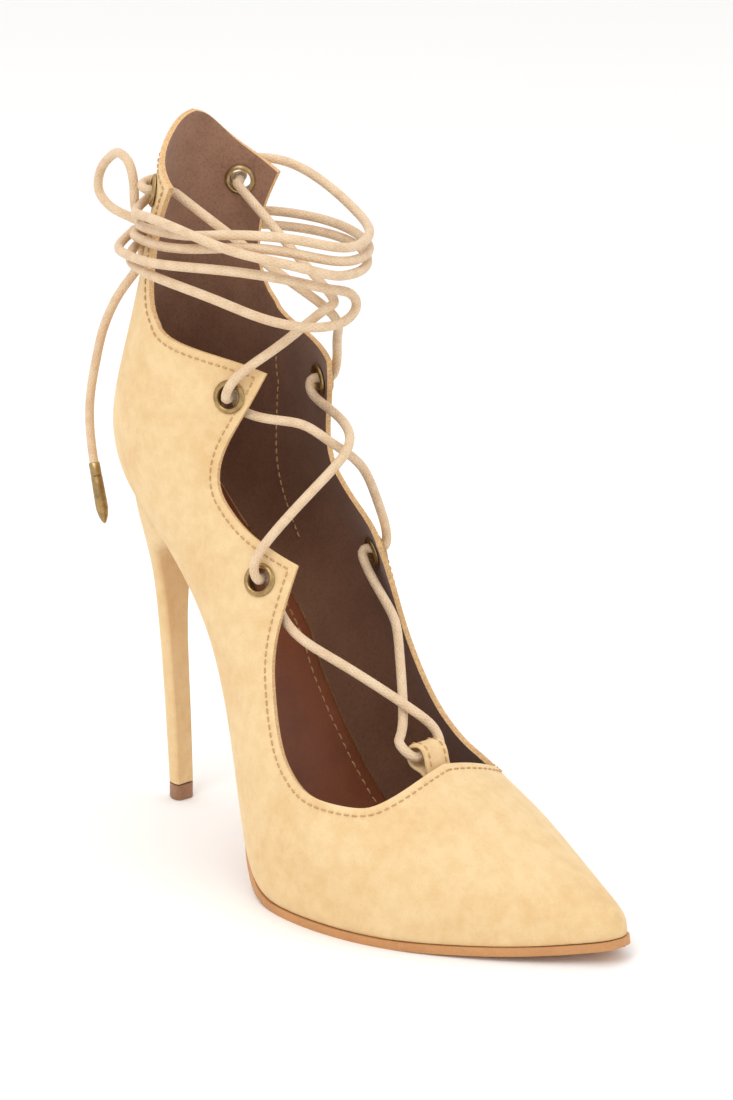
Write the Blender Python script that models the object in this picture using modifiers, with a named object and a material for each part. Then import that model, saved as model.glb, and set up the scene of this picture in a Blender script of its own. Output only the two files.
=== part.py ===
"""Lace up heel: a right shoe with a pointed toe, a covered stiletto heel and a cut-out collar that laces.

Metres, +Z up, toe towards +X. The outer side of the foot is -Y. The tables give places from the middle of
the heel's floor contact, and the empty "shoe" moves them to the shoe's own origin, the middle of its box.
"""

from math import cos, pi, sin

import bmesh
import bpy
import numpy as np
from mathutils import Matrix, Vector

# Origin of the whole shoe, seen from the middle of the heel's floor contact.
ORIGIN = (0.0896, -0.0070, 0.0)

# Upper
WALL = 0.0018
GAP = 0.0003
RIBS_PER_SIDE = 44
ROWS = 9
RIB_FAN = 0.6
RIB_TURN_IN = 1.6
RIB_LEAN = 1.5
TOE_RIBS = 2.0
TOE_FAN = 0.4

# Sole
SOLE_THICKNESS = 0.0027
SOLE_EDGE = 0.0008
INSOLE_THICKNESS = 0.0016
INSOLE_FROM = 1.0
INSOLE_GAP = 0.0009
TREAD_FRONT = 0.138
TREAD_BACK = 0.098
BREAST_X = 0.0140

# Heel
HEEL_ARC = 20
HEEL_FRONT = 4
LIFT_TOP = 0.0055
LIFT_BEVEL = 0.0004

# Eyelets
HOLE_RADIUS = 0.0044
EYELET_STEPS = 12

# The last, a row for each section from the toe round to the collar. low is the section's lowest or rearmost
# point seen from the side and high is its highest or foremost. widest is how far up from low it is widest.
# A power of 2 makes that half of the section an ellipse and more makes it boxier. swing is the shift of the
# section's middle towards the inner side.
# low_x, low_z, high_x, high_z, half_width, widest, low_power, high_power, swing
LAST = (
    (0.1975, 0.0090, 0.1975, 0.0092, 0.00015, 0.45, 2.5, 2.0, 0.0065),
    (0.1960, 0.0066, 0.1950, 0.0160, 0.0048, 0.35, 3.5, 2.0, 0.0060),
    (0.1900, 0.0052, 0.1880, 0.0200, 0.0100, 0.32, 4.0, 2.0, 0.0048),
    (0.1770, 0.0013, 0.1760, 0.0260, 0.0190, 0.30, 4.5, 2.0, 0.0020),
    (0.1600, -0.0002, 0.1610, 0.0340, 0.0285, 0.30, 5.0, 2.0, -0.0013),
    (0.1420, -0.0010, 0.1450, 0.0425, 0.0365, 0.30, 5.0, 2.0, -0.0042),
    (0.1230, -0.0013, 0.1300, 0.0505, 0.0410, 0.30, 5.0, 2.0, -0.0062),
    (0.1040, -0.0013, 0.1170, 0.0610, 0.0425, 0.30, 5.0, 2.0, -0.0070),
    (0.0880, -0.0005, 0.1060, 0.0740, 0.0415, 0.34, 5.0, 1.9, -0.0062),
    (0.0740, 0.0085, 0.0970, 0.0890, 0.0385, 0.38, 4.0, 1.8, -0.0046),
    (0.0600, 0.0340, 0.0900, 0.1040, 0.0345, 0.40, 3.5, 1.7, -0.0028),
    (0.0430, 0.0655, 0.0830, 0.1190, 0.0310, 0.42, 3.4, 1.6, -0.0010),
    (0.0220, 0.0890, 0.0770, 0.1350, 0.0290, 0.42, 3.4, 1.55, 0.0000),
    (0.0020, 0.1045, 0.0720, 0.1510, 0.0290, 0.42, 3.2, 1.5, 0.0005),
    (-0.0130, 0.1160, 0.0690, 0.1650, 0.0295, 0.42, 2.7, 1.5, 0.0008),
    (-0.0210, 0.1310, 0.0660, 0.1790, 0.0290, 0.42, 2.3, 1.5, 0.0008),
    (-0.0195, 0.1500, 0.0640, 0.1930, 0.0275, 0.42, 2.1, 1.5, 0.0008),
    (-0.0135, 0.1720, 0.0620, 0.2060, 0.0260, 0.43, 2.0, 1.6, 0.0006),
    (-0.0075, 0.1940, 0.0610, 0.2200, 0.0250, 0.44, 2.0, 1.8, 0.0003),
    (-0.0015, 0.2170, 0.0600, 0.2360, 0.0245, 0.45, 2.0, 1.9, 0.0000),
    (0.0045, 0.2400, 0.0600, 0.2540, 0.0245, 0.45, 2.0, 2.0, 0.0000),
)

# The bottom of the upper from the side: x, z. It is level over the tread.
BOARD = (
    (-0.0300, 0.1324),
    (BREAST_X, 0.0976),
    (0.0220, 0.0909),
    (0.0330, 0.0806),
    (0.0430, 0.0685),
    (0.0520, 0.0530),
    (0.0600, 0.0378),
    (0.0670, 0.0247),
    (0.0740, 0.0136),
    (0.0810, 0.0070),
    (0.0890, 0.0039),
    (TREAD_BACK, 0.0030),
    (TREAD_FRONT, 0.0030),
    (0.1460, 0.0032),
    (0.1600, 0.0039),
    (0.1770, 0.0052),
    (0.1900, 0.0068),
    (0.2000, 0.0088),
)

# The topline, one table for each stretch between two corners: station on the last, turn round the section.
# A turn of 0 is the middle of the bottom or back, and 1 the middle of the top or front.
VAMP_LINE = (
    (5.90, 1.000),
    (5.83, 0.920),
    (5.85, 0.840),
    (6.00, 0.775),
    (6.35, 0.730),
    (7.15, 0.680),
    (7.85, 0.660),
    (8.50, 0.650),
    (9.30, 0.650),
    (9.80, 0.658),
    (10.10, 0.680),
    (10.35, 0.715),
    (10.75, 0.775),
)
LOW_SCALLOP = (
    (10.75, 0.775),
    (11.20, 0.715),
    (11.60, 0.668),
    (11.95, 0.638),
    (12.30, 0.622),
    (12.60, 0.622),
    (12.95, 0.645),
    (13.35, 0.690),
    (13.80, 0.745),
    (14.35, 0.800),
)
HIGH_SCALLOP = (
    (14.35, 0.800),
    (14.80, 0.745),
    (15.30, 0.675),
    (15.75, 0.605),
    (16.20, 0.530),
    (16.60, 0.470),
    (17.10, 0.420),
    (17.60, 0.395),
    (18.10, 0.395),
    (18.45, 0.418),
    (18.75, 0.450),
)
COLLAR_LINE = (
    (18.75, 0.450),
    (19.10, 0.345),
    (19.50, 0.215),
    (19.88, 0.090),
    (20.00, 0.000),
)
# A stretch of the topline, and where along the bottom edge, from toe to heel, its ribs end.
STRETCHES = (
    (VAMP_LINE, 0.00, 0.58),
    (LOW_SCALLOP, 0.58, 0.76),
    (HIGH_SCALLOP, 0.76, 0.92),
    (COLLAR_LINE, 0.92, 1.00),
)

# Eyelets: name, station, turn.
EYELETS = (
    ("low", 11.00, 0.655),
    ("middle", 14.20, 0.715),
    ("top", 18.80, 0.280),
)
# An eyelet's section: radius, height over the upper's face.
EYELET_PROFILE = (
    (0.0035, 0.0013),
    (0.0049, 0.0013),
    (0.0055, 0.0005),
    (0.0039, 0.0005),
    (0.0039, -0.0030),
    (0.0051, -0.0030),
    (0.0047, -0.0036),
    (0.0035, -0.0036),
)

# The heel from the seat down to the top lift. The first row takes its outline from the upper's bottom edge.
# front_x, front_z, back_x, back_z, half_width, widest, front_power, back_power
HEEL = (
    (0.0092, 0.0955, -0.0180, 0.1185, 0.0165, 0.10, 4.0, 2.2),
    (0.0042, 0.0929, -0.0170, 0.1125, 0.0145, 0.15, 3.6, 2.1),
    (0.0005, 0.0893, -0.0158, 0.1055, 0.0118, 0.22, 3.4, 2.0),
    (-0.0014, 0.0848, -0.0143, 0.0970, 0.0092, 0.28, 3.2, 2.0),
    (-0.0019, 0.0790, -0.0128, 0.0880, 0.0072, 0.32, 3.2, 2.0),
    (-0.0015, 0.0710, -0.0114, 0.0780, 0.0058, 0.34, 3.2, 2.0),
    (-0.0008, 0.0600, -0.0099, 0.0640, 0.0048, 0.36, 3.2, 2.0),
    (0.0004, 0.0440, -0.0080, 0.0460, 0.0043, 0.36, 3.2, 2.0),
    (0.0018, 0.0260, -0.0063, 0.0265, 0.0040, 0.36, 3.2, 2.0),
    (0.0029, 0.0058, -0.0046, 0.0058, 0.0038, 0.36, 3.2, 2.0),
)

# Loop at the back, under which the laces run: station, distance from the upper.
KEEPER = (
    (18.47, 0.0003),
    (18.56, 0.0004),
    (18.65, 0.0018),
    (18.77, 0.0043),
    (18.93, 0.0050),
    (19.10, 0.0046),
    (19.28, 0.0026),
    (19.46, 0.0009),
    (19.58, 0.0003),
    (19.72, 0.0003),
)
KEEPER_WIDTH = 0.0090
KEEPER_THICKNESS = 0.0012

# Tab at the throat, seen from the side, from its lower end round the bight to its upper end:
# distance behind the throat's edge along the vamp, distance from the vamp's outer face.
TAB = (
    (-0.0070, -0.0054),
    (-0.0010, -0.0054),
    (0.0030, -0.0050),
    (0.0062, -0.0058),
    (0.0092, -0.0046),
    (0.0104, -0.0016),
    (0.0088, 0.0012),
    (0.0058, 0.0018),
    (0.0030, -0.0004),
    (0.0008, -0.0026),
    (-0.0020, -0.0037),
    (-0.0070, -0.0039),
)
TAB_WIDTH = 0.0100
TAB_THICKNESS = 0.0011

# Lace: a round cord. Its tables give places along it as x, y, z, and it follows the smooth curve through them.
CORD = 0.0031
CORD_SIDES = 6
CROSSING_STEP = 0.0056
WRAP_STEP = 0.0058
FREE_STEP = 0.0070
TIP_GAP = 0.0003
# A tip's section: distance from the cord's end, radius.
TIP = (
    (0.0000, 0.0019),
    (0.0120, 0.0021),
    (0.0165, 0.0010),
    (0.0172, 0.0004),
)
# The knot, round about its upright axis: height from its middle, radius.
KNOT = (
    (-0.0040, 0.0012),
    (-0.0026, 0.0029),
    (0.0000, 0.0034),
    (0.0018, 0.0029),
    (0.0028, 0.0012),
)
KNOT_PLACE = (-0.0097, -0.0066, 0.1986)
# From the outer top eyelet down to the tab and up to the inner top eyelet.
LACE_CROSSINGS = (
    (0.0118, -0.0134, 0.2147),
    (0.0196, -0.0103, 0.2096),
    (0.0327, -0.0052, 0.2012),
    (0.0483, 0.0009, 0.1911),
    (0.0640, 0.0071, 0.1810),
    (0.0581, 0.0155, 0.1714),
    (0.0507, 0.0226, 0.1624),
    (0.0469, 0.0244, 0.1549),
    (0.0454, 0.0209, 0.1543),
    (0.0439, 0.0175, 0.1538),
    (0.0458, 0.0166, 0.1495),
    (0.0577, 0.0135, 0.1469),
    (0.0706, 0.0083, 0.1445),
    (0.0788, 0.0001, 0.1396),
    (0.0768, -0.0109, 0.1295),
    (0.0722, -0.0219, 0.1178),
    (0.0691, -0.0295, 0.1074),
    (0.0695, -0.0297, 0.1014),
    (0.0684, -0.0265, 0.1001),
    (0.0671, -0.0222, 0.0984),
    (0.0755, -0.0235, 0.0885),
    (0.0868, -0.0227, 0.0819),
    (0.0997, -0.0169, 0.0755),
    (0.1152, -0.0049, 0.0636),
    (0.1202, 0.0016, 0.0560),
    (0.1243, -0.0008, 0.0517),
    (0.1243, -0.0066, 0.0516),
    (0.1243, -0.0124, 0.0517),
    (0.1200, -0.0144, 0.0556),
    (0.1142, -0.0072, 0.0594),
    (0.0994, 0.0057, 0.0746),
    (0.0868, 0.0156, 0.0819),
    (0.0755, 0.0195, 0.0885),
    (0.0665, 0.0203, 0.0989),
    (0.0683, 0.0245, 0.1002),
    (0.0697, 0.0277, 0.1012),
    (0.0691, 0.0281, 0.1074),
    (0.0710, 0.0210, 0.1204),
    (0.0746, 0.0102, 0.1330),
    (0.0715, 0.0003, 0.1412),
    (0.0658, -0.0066, 0.1469),
    (0.0564, -0.0119, 0.1478),
    (0.0458, -0.0151, 0.1495),
    (0.0439, -0.0158, 0.1538),
    (0.0454, -0.0193, 0.1543),
    (0.0468, -0.0228, 0.1549),
    (0.0507, -0.0210, 0.1624),
    (0.0604, -0.0121, 0.1728),
    (0.0691, -0.0019, 0.1838),
    (0.0673, 0.0041, 0.1874),
    (0.0506, 0.0069, 0.1955),
    (0.0340, 0.0097, 0.2037),
    (0.0201, 0.0121, 0.2105),
    (0.0118, 0.0135, 0.2145),
)
# From the outer top eyelet under the back loop and twice round the ankle to the knot.
WRAP_OUTER = (
    (0.0108, -0.0146, 0.2149),
    (0.0082, -0.0179, 0.2155),
    (0.0059, -0.0209, 0.2160),
    (0.0008, -0.0172, 0.2173),
    (-0.0038, 0.0000, 0.2174),
    (-0.0020, 0.0109, 0.2189),
    (0.0042, 0.0211, 0.2212),
    (0.0162, 0.0292, 0.2214),
    (0.0313, 0.0323, 0.2168),
    (0.0460, 0.0314, 0.2110),
    (0.0615, 0.0249, 0.2070),
    (0.0722, 0.0137, 0.2054),
    (0.0760, 0.0000, 0.2052),
    (0.0706, -0.0162, 0.2090),
    (0.0558, -0.0281, 0.2096),
    (0.0390, -0.0324, 0.2074),
    (0.0215, -0.0310, 0.2062),
    (0.0060, -0.0238, 0.2048),
    (-0.0046, -0.0119, 0.2034),
    (-0.0075, -0.0000, 0.2027),
    (-0.0032, 0.0147, 0.2028),
    (0.0114, 0.0279, 0.2040),
    (0.0355, 0.0325, 0.2036),
    (0.0558, 0.0281, 0.2018),
    (0.0706, 0.0163, 0.2008),
    (0.0760, 0.0000, 0.2008),
    (0.0706, -0.0162, 0.2046),
    (0.0587, -0.0266, 0.2058),
    (0.0425, -0.0320, 0.2036),
    (0.0249, -0.0319, 0.2019),
    (0.0100, -0.0274, 0.2014),
    (-0.0005, -0.0206, 0.2004),
    (-0.0058, -0.0144, 0.2004),
    (-0.0063, -0.0115, 0.1999),
)
# From the inner top eyelet under the back loop and once round the ankle to the knot.
WRAP_INNER = (
    (0.0108, 0.0148, 0.2148),
    (0.0082, 0.0180, 0.2155),
    (0.0059, 0.0210, 0.2161),
    (0.0010, 0.0176, 0.2146),
    (-0.0048, 0.0000, 0.2134),
    (-0.0021, -0.0129, 0.2114),
    (0.0067, -0.0261, 0.2098),
    (0.0217, -0.0349, 0.2112),
    (0.0394, -0.0366, 0.2100),
    (0.0578, -0.0316, 0.2056),
    (0.0720, -0.0209, 0.2020),
    (0.0775, -0.0092, 0.1983),
    (0.0775, -0.0000, 0.1966),
    (0.0722, 0.0137, 0.1966),
    (0.0557, 0.0281, 0.1980),
    (0.0355, 0.0325, 0.1994),
    (0.0147, 0.0292, 0.1994),
    (-0.0001, 0.0204, 0.1986),
    (-0.0071, 0.0093, 0.1978),
    (-0.0096, 0.0006, 0.1976),
    (-0.0098, -0.0024, 0.1982),
)
# The bow's long loop, forward along the outer side and back.
BOW_LONG = (
    (-0.0089, -0.0100, 0.1955),
    (-0.0030, -0.0190, 0.1948),
    (0.0050, -0.0270, 0.1938),
    (0.0140, -0.0320, 0.1932),
    (0.0260, -0.0350, 0.1926),
    (0.0380, -0.0350, 0.1914),
    (0.0518, -0.0305, 0.1882),
    (0.0625, -0.0220, 0.1834),
    (0.0695, -0.0110, 0.1802),
    (0.0723, 0.0000, 0.1796),
    (0.0716, 0.0085, 0.1814),
    (0.0712, 0.0110, 0.1852),
    (0.0730, 0.0055, 0.1896),
    (0.0738, -0.0040, 0.1922),
    (0.0706, -0.0135, 0.1950),
    (0.0630, -0.0235, 0.1974),
    (0.0520, -0.0305, 0.1982),
    (0.0380, -0.0354, 0.1978),
    (0.0240, -0.0364, 0.1972),
    (0.0110, -0.0334, 0.1970),
    (0.0010, -0.0282, 0.1964),
    (-0.0062, -0.0214, 0.1968),
    (-0.0109, -0.0110, 0.1995),
)
# The bow's short loop, behind the heel.
BOW_SHORT = (
    (-0.0122, -0.0078, 0.2028),
    (-0.0066, -0.0150, 0.2077),
    (-0.0059, -0.0160, 0.2133),
    (-0.0075, -0.0155, 0.2189),
    (-0.0112, -0.0145, 0.2226),
    (-0.0170, -0.0130, 0.2239),
    (-0.0229, -0.0110, 0.2222),
    (-0.0293, -0.0100, 0.2172),
    (-0.0326, -0.0090, 0.2109),
    (-0.0312, -0.0085, 0.2067),
    (-0.0256, -0.0080, 0.2034),
    (-0.0186, -0.0070, 0.2017),
    (-0.0141, -0.0058, 0.2002),
)
# The end that hangs on the outer side.
END_OUTER = (
    (-0.0123, -0.0084, 0.1940),
    (-0.0083, -0.0110, 0.1886),
    (-0.0174, -0.0120, 0.1775),
    (-0.0256, -0.0125, 0.1642),
    (-0.0299, -0.0125, 0.1518),
    (-0.0332, -0.0125, 0.1373),
    (-0.0328, -0.0125, 0.1233),
    (-0.0302, -0.0125, 0.1119),
)
# The end that hangs on the inner side.
END_INNER = (
    (-0.0122, -0.0041, 0.1966),
    (-0.0180, 0.0015, 0.1885),
    (-0.0220, 0.0050, 0.1780),
    (-0.0252, 0.0075, 0.1670),
    (-0.0280, 0.0095, 0.1550),
    (-0.0295, 0.0110, 0.1420),
    (-0.0290, 0.0120, 0.1290),
    (-0.0270, 0.0125, 0.1170),
)

# Colours, as linear values, with roughness and metallic.
FINISHES = {
    "suede": ((0.84, 0.62, 0.36), 0.95, 0.0),
    "outsole": ((0.50, 0.27, 0.11), 0.55, 0.0),
    "insole": ((0.22, 0.055, 0.02), 0.60, 0.0),
    "lift": ((0.36, 0.20, 0.10), 0.50, 0.0),
    "brass": ((0.30, 0.20, 0.10), 0.35, 1.0),
    "cord": ((0.74, 0.55, 0.38), 0.80, 0.0),
}


class Spline:
    """Smooth curve through the rows of a table, read at a row number."""

    def __init__(self, rows):
        self.rows = np.array(rows, float)
        count = len(self.rows)
        system = np.eye(count)
        right = np.zeros_like(self.rows)
        for i in range(1, count - 1):
            system[i, i - 1:i + 2] = 1, 4, 1
            right[i] = 6 * (self.rows[i + 1] - 2 * self.rows[i] + self.rows[i - 1])
        self.bend = np.linalg.solve(system, right)

    def at(self, place):
        row = min(max(int(place), 0), len(self.rows) - 2)
        after = place - row
        before = 1 - after
        return (self.rows[row] * before + self.rows[row + 1] * after
                + (before ** 3 - before) * self.bend[row] / 6
                + (after ** 3 - after) * self.bend[row + 1] / 6)


LAST_CURVE = Spline(LAST)
BOARD_X = [row[0] for row in BOARD]
BOARD_Z = [row[1] for row in BOARD]


def board_slopes():
    """Slope of the board at each row: level beside a level stretch, so that the tread stays flat."""
    steps = [(BOARD_Z[i + 1] - BOARD_Z[i]) / (BOARD_X[i + 1] - BOARD_X[i]) for i in range(len(BOARD) - 1)]
    slopes = [steps[0]]
    for before, after in zip(steps, steps[1:]):
        slopes.append(2 * before * after / (before + after) if before * after > 0 else 0.0)
    slopes.append(steps[-1])
    slopes[1] = steps[0]
    return slopes


BOARD_SLOPES = board_slopes()


def board_height(x):
    """Height of the upper's bottom edge at a distance from the heel."""
    row = min(max(int(np.searchsorted(BOARD_X, x)) - 1, 0), len(BOARD) - 2)
    run = BOARD_X[row + 1] - BOARD_X[row]
    t = (x - BOARD_X[row]) / run
    return ((2 * t ** 3 - 3 * t ** 2 + 1) * BOARD_Z[row] + (t ** 3 - 2 * t ** 2 + t) * run * BOARD_SLOPES[row]
            + (3 * t ** 2 - 2 * t ** 3) * BOARD_Z[row + 1] + (t ** 3 - t ** 2) * run * BOARD_SLOPES[row + 1])


def board_normal(x):
    """Direction square to the board at x, pointing up."""
    step = 0.0005
    return Vector((board_height(x - step) - board_height(x + step), 0.0, 2 * step)).normalized()


def oval(low, high, half_width, widest, low_power, high_power, swing, turn):
    """Point on a section that stands on the line from low to high, both as x and z."""
    angle = abs(turn) * pi
    lower = angle <= pi / 2
    power = 2 / (low_power if lower else high_power)
    reach = half_width * max(sin(angle), 0.0) ** power
    spread = abs(cos(angle)) ** power
    rise = widest * (1 - spread) if lower else widest + (1 - widest) * spread
    side = -1 if turn < 0 else 1
    return Vector((low[0] + (high[0] - low[0]) * rise, side * reach + swing, low[1] + (high[1] - low[1]) * rise))


def last_point(station, turn):
    """Point on the upper's outer face. A turn below 0 is on the outer side of the foot."""
    row = LAST_CURVE.at(station)
    return oval(row[0:2], row[2:4], max(row[4], 0.0), row[5], row[6], row[7], row[8], turn)


def last_frame(station, turn):
    """Point, outward direction and direction along the stations on the upper's outer face."""
    along = last_point(station + 0.02, turn) - last_point(station - 0.02, turn)
    around = last_point(station, turn + 0.004) - last_point(station, turn - 0.004)
    return last_point(station, turn), along.cross(around).normalized(), along.normalized()


def bottom_turn(station):
    """Turn at which a section leaves the board: 0 where the whole section lies above it."""
    low, high = 0.0, 0.5
    point = last_point(station, low)
    if point.z > board_height(point.x):
        return 0.0
    for _ in range(30):
        middle = (low + high) / 2
        point = last_point(station, middle)
        if point.z < board_height(point.x):
            low = middle
        else:
            high = middle
    return high


def seat_station():
    """Station at which the middle of the back leaves the board."""
    low, high = 13.0, 16.0
    for _ in range(30):
        middle = (low + high) / 2
        if bottom_turn(middle) > 0:
            low = middle
        else:
            high = middle
    return low


SEAT = seat_station()


def evenly(points, count):
    """Places along a run of points, at equal distances, as fractional indices."""
    steps = [(b - a).length for a, b in zip(points, points[1:])]
    reach = np.concatenate([[0.0], np.cumsum(steps)])
    return np.interp(np.linspace(0, reach[-1], count), reach, range(len(points)))


def between(points, place):
    """Point at a fractional index along a run of points."""
    i = min(int(place), len(points) - 2)
    return points[i].lerp(points[i + 1], place - i)


def bottom_edge():
    """Stations and turns along the upper's bottom edge, from the toe to the middle of the back."""
    near_toe = [0.0, 0.02, 0.05, 0.1, 0.2, 0.35]
    along = [0.5 + (SEAT - 0.5) * sin(pi / 2 * i / 90) for i in range(91)]
    stations = near_toe + along
    turns = [bottom_turn(s) for s in stations]
    turns[-1] = 0.0
    return stations, turns


EDGE_STATIONS, EDGE_TURNS = bottom_edge()
EDGE_POINTS = [last_point(s, t) for s, t in zip(EDGE_STATIONS, EDGE_TURNS)]


def ribs():
    """Ends of the upper's ribs on one side, as station and turn at the bottom and at the topline."""
    result = []
    for table, start, end in STRETCHES:
        curve = Spline(table)
        count = max(3, round(RIBS_PER_SIDE * (end - start)))
        if table is not VAMP_LINE:
            count += 3
        fine = [curve.at(i / 8) for i in range(8 * (len(table) - 1) + 1)]
        places = evenly([last_point(s, t) for s, t in fine], count + 1)
        bottoms = evenly(EDGE_POINTS, 401)
        for i, place in enumerate(places[:-1]):
            top = curve.at(place / 8)
            spot = bottoms[round(400 * (start + (end - start) * i / count))]
            station = np.interp(spot, range(len(EDGE_STATIONS)), EDGE_STATIONS)
            turn = np.interp(spot, range(len(EDGE_TURNS)), EDGE_TURNS)
            result.append(((station, turn), (top[0], top[1])))
    result[0] = ((0.0, 1.0), (VAMP_LINE[0][0], 1.0))
    result.append(((SEAT, 0.0), (COLLAR_LINE[-1][0], 0.0)))
    return result


def rib_point(rib, fraction, side):
    """Point on a rib. Ribs fan out at the toe and lean back before they meet the scallops."""
    (station, turn), (top_station, top_turn) = rib
    lean = min(RIB_LEAN, RIB_FAN + RIB_TURN_IN * station / SEAT)
    lean *= min(1.0, (station / TOE_RIBS) ** TOE_FAN)
    return last_point(station + (top_station - station) * fraction,
                      side * (turn + (top_turn - turn) * fraction ** lean))


def finish(name):
    """Material of one finish, made once."""
    material = bpy.data.materials.get(name)
    if material is None:
        colour, roughness, metallic = FINISHES[name]
        material = bpy.data.materials.new(name)
        material.use_nodes = True
        shader = material.node_tree.nodes["Principled BSDF"]
        shader.inputs["Base Color"].default_value = (*colour, 1.0)
        shader.inputs["Roughness"].default_value = roughness
        shader.inputs["Metallic"].default_value = metallic
        material.diffuse_color = (*colour, 1.0)
    return material


def add(name, mesh, material, collection, shoe):
    """Put a mesh in the scene as one named piece of the shoe."""
    piece = bpy.data.objects.new(name, mesh)
    collection.objects.link(piece)
    piece.parent = shoe
    if material is not None:
        mesh.materials.append(finish(material))
        mesh.shade_smooth()
        mesh.set_sharp_from_angle(angle=0.7)
    return piece


def solid(piece, thickness, offset):
    """Give an open surface its thickness."""
    shell = piece.modifiers.new("thickness", "SOLIDIFY")
    shell.thickness = thickness
    shell.offset = offset
    shell.use_even_offset = False
    return piece


def grid_mesh(name, rows, closed=False):
    """Surface through rows of points. A row of one point closes to a corner."""
    mesh = bpy.data.meshes.new(name)
    form = bmesh.new()
    made = [[form.verts.new(point) for point in row] for row in rows]
    pairs = list(zip(made, made[1:]))
    if closed:
        pairs.append((made[-1], made[0]))
    for first, second in pairs:
        for i in range(max(len(first), len(second)) - 1):
            corners = [first[min(i, len(first) - 1)], first[min(i + 1, len(first) - 1)],
                       second[min(i + 1, len(second) - 1)], second[min(i, len(second) - 1)]]
            form.faces.new(list(dict.fromkeys(corners)))
    form.to_mesh(mesh)
    form.free()
    return mesh


def loft_mesh(name, rings):
    """Closed solid through rings of equal count, capped at both ends."""
    mesh = bpy.data.meshes.new(name)
    form = bmesh.new()
    made = [[form.verts.new(point) for point in ring] for ring in rings]
    for first, second in zip(made, made[1:]):
        for i in range(len(first)):
            j = (i + 1) % len(first)
            form.faces.new((first[i], first[j], second[j], second[i]))
    form.faces.new(made[0])
    form.faces.new(reversed(made[-1]))
    bmesh.ops.recalc_face_normals(form, faces=form.faces)
    form.to_mesh(mesh)
    form.free()
    return mesh


def make_upper(collection, cutters, shoe):
    """Suede upper: one wall from the bottom edge to the topline, holed for the eyelets."""
    near = ribs()
    rows = [[rib_point(rib, i / ROWS, -1) for i in range(ROWS + 1)] for rib in near]
    rows += [[rib_point(rib, i / ROWS, 1) for i in range(ROWS + 1)] for rib in reversed(near[1:-1])]
    upper = add("upper", grid_mesh("upper", rows, closed=True), "suede", collection, shoe)
    solid(upper, WALL, -1)
    cutter = add("eyelet_holes", holes_mesh(), None, cutters, shoe)
    cutter.hide_render = True
    cutter.display_type = "WIRE"
    cut = upper.modifiers.new("holes", "BOOLEAN")
    cut.operation = "DIFFERENCE"
    cut.object = cutter
    cut.solver = "EXACT"


def eyelet_places():
    """Name and placing of each eyelet, its Z along the outward direction."""
    for name, station, turn in EYELETS:
        for side_name, side in (("outer", -1), ("inner", 1)):
            point, outward, along = last_frame(station, side * turn)
            across = along.cross(outward).normalized()
            up = outward.cross(across)
            placing = Matrix((across, up, outward)).transposed().to_4x4()
            placing.translation = point
            yield f"eyelet_{side_name}_{name}", placing


def holes_mesh():
    mesh = bpy.data.meshes.new("eyelet_holes")
    form = bmesh.new()
    for _, placing in eyelet_places():
        bmesh.ops.create_cone(form, cap_ends=True, segments=EYELET_STEPS, radius1=HOLE_RADIUS,
                              radius2=HOLE_RADIUS, depth=6 * WALL, matrix=placing)
    form.to_mesh(mesh)
    form.free()
    return mesh


def make_eyelets(collection, shoe):
    """Turned brass eyelets, three on each side."""
    for name, placing in eyelet_places():
        mesh = bpy.data.meshes.new(name)
        points = [(radius, 0.0, height) for radius, height in EYELET_PROFILE]
        edges = [(i, (i + 1) % len(points)) for i in range(len(points))]
        mesh.from_pydata(points, edges, [])
        eyelet = add(name, mesh, "brass", collection, shoe)
        eyelet.matrix_local = placing
        screw = eyelet.modifiers.new("turned", "SCREW")
        screw.steps = EYELET_STEPS
        screw.render_steps = EYELET_STEPS
        screw.use_merge_vertices = True
        screw.merge_threshold = 0.00001
        screw.use_smooth_shade = True


def edge_line(outset, drop):
    """Bottom edge of the upper on both sides, moved out in the board and down from it."""
    sides = []
    for side in (-1, 1):
        points = [last_point(s, side * t) for s, t in zip(EDGE_STATIONS, EDGE_TURNS)]
        moved = []
        for i, point in enumerate(points):
            along = points[min(i + 1, len(points) - 1)] - points[max(i - 1, 0)]
            if i == len(points) - 1:
                outward = Vector((-1.0, 0.0, 0.0))
            elif i == 0:
                outward = Vector((1.0, 0.0, 0.0))
            else:
                outward = along.cross(board_normal(point.x)).normalized() * side
            up = board_normal(point.x)
            outward = (outward - up * outward.dot(up)).normalized()
            moved.append(point + outward * outset - up * drop)
        sides.append(moved)
    return sides


def plate_rows(near, far, count):
    """Rows across a plate between its two edges, at even distances along it."""
    rows = []
    for place in evenly(near, count):
        a = between(near, place)
        b = between(far, place)
        rows.append([a] if (a - b).length < 0.0004 else [a.lerp(b, t) for t in (0.0, 0.5, 1.0)])
    return rows


def make_outsole(collection, shoe):
    """Leather outsole from the toe to the heel's breast, its tread on the floor."""
    near, far = edge_line(SOLE_EDGE, GAP)
    keep = [i for i, point in enumerate(near) if point.x > BREAST_X + GAP]
    rows = plate_rows([near[i] for i in keep], [far[i] for i in keep], 52)
    sole = add("outsole", grid_mesh("outsole", rows), "outsole", collection, shoe)
    solid(sole, SOLE_THICKNESS, -1)


def make_insole(collection, shoe):
    """Insole board with its sock, inside the upper along the whole bottom."""
    near, far = edge_line(-WALL - INSOLE_GAP, -INSOLE_THICKNESS)
    keep = [i for i, station in enumerate(EDGE_STATIONS) if station >= INSOLE_FROM]
    rows = plate_rows([near[i] for i in keep], [far[i] for i in keep], 48)
    insole = add("insole", grid_mesh("insole", rows), "insole", collection, shoe)
    solid(insole, INSOLE_THICKNESS, -1)


def ring_from(arc):
    """Ring of even points along an arc from one front corner round the back to the other, and the front."""
    ring = [between(arc, place) for place in evenly(arc, HEEL_ARC + 1)]
    ring += [arc[-1].lerp(arc[0], i / (HEEL_FRONT + 1)) for i in range(1, HEEL_FRONT + 1)]
    return ring


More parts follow.
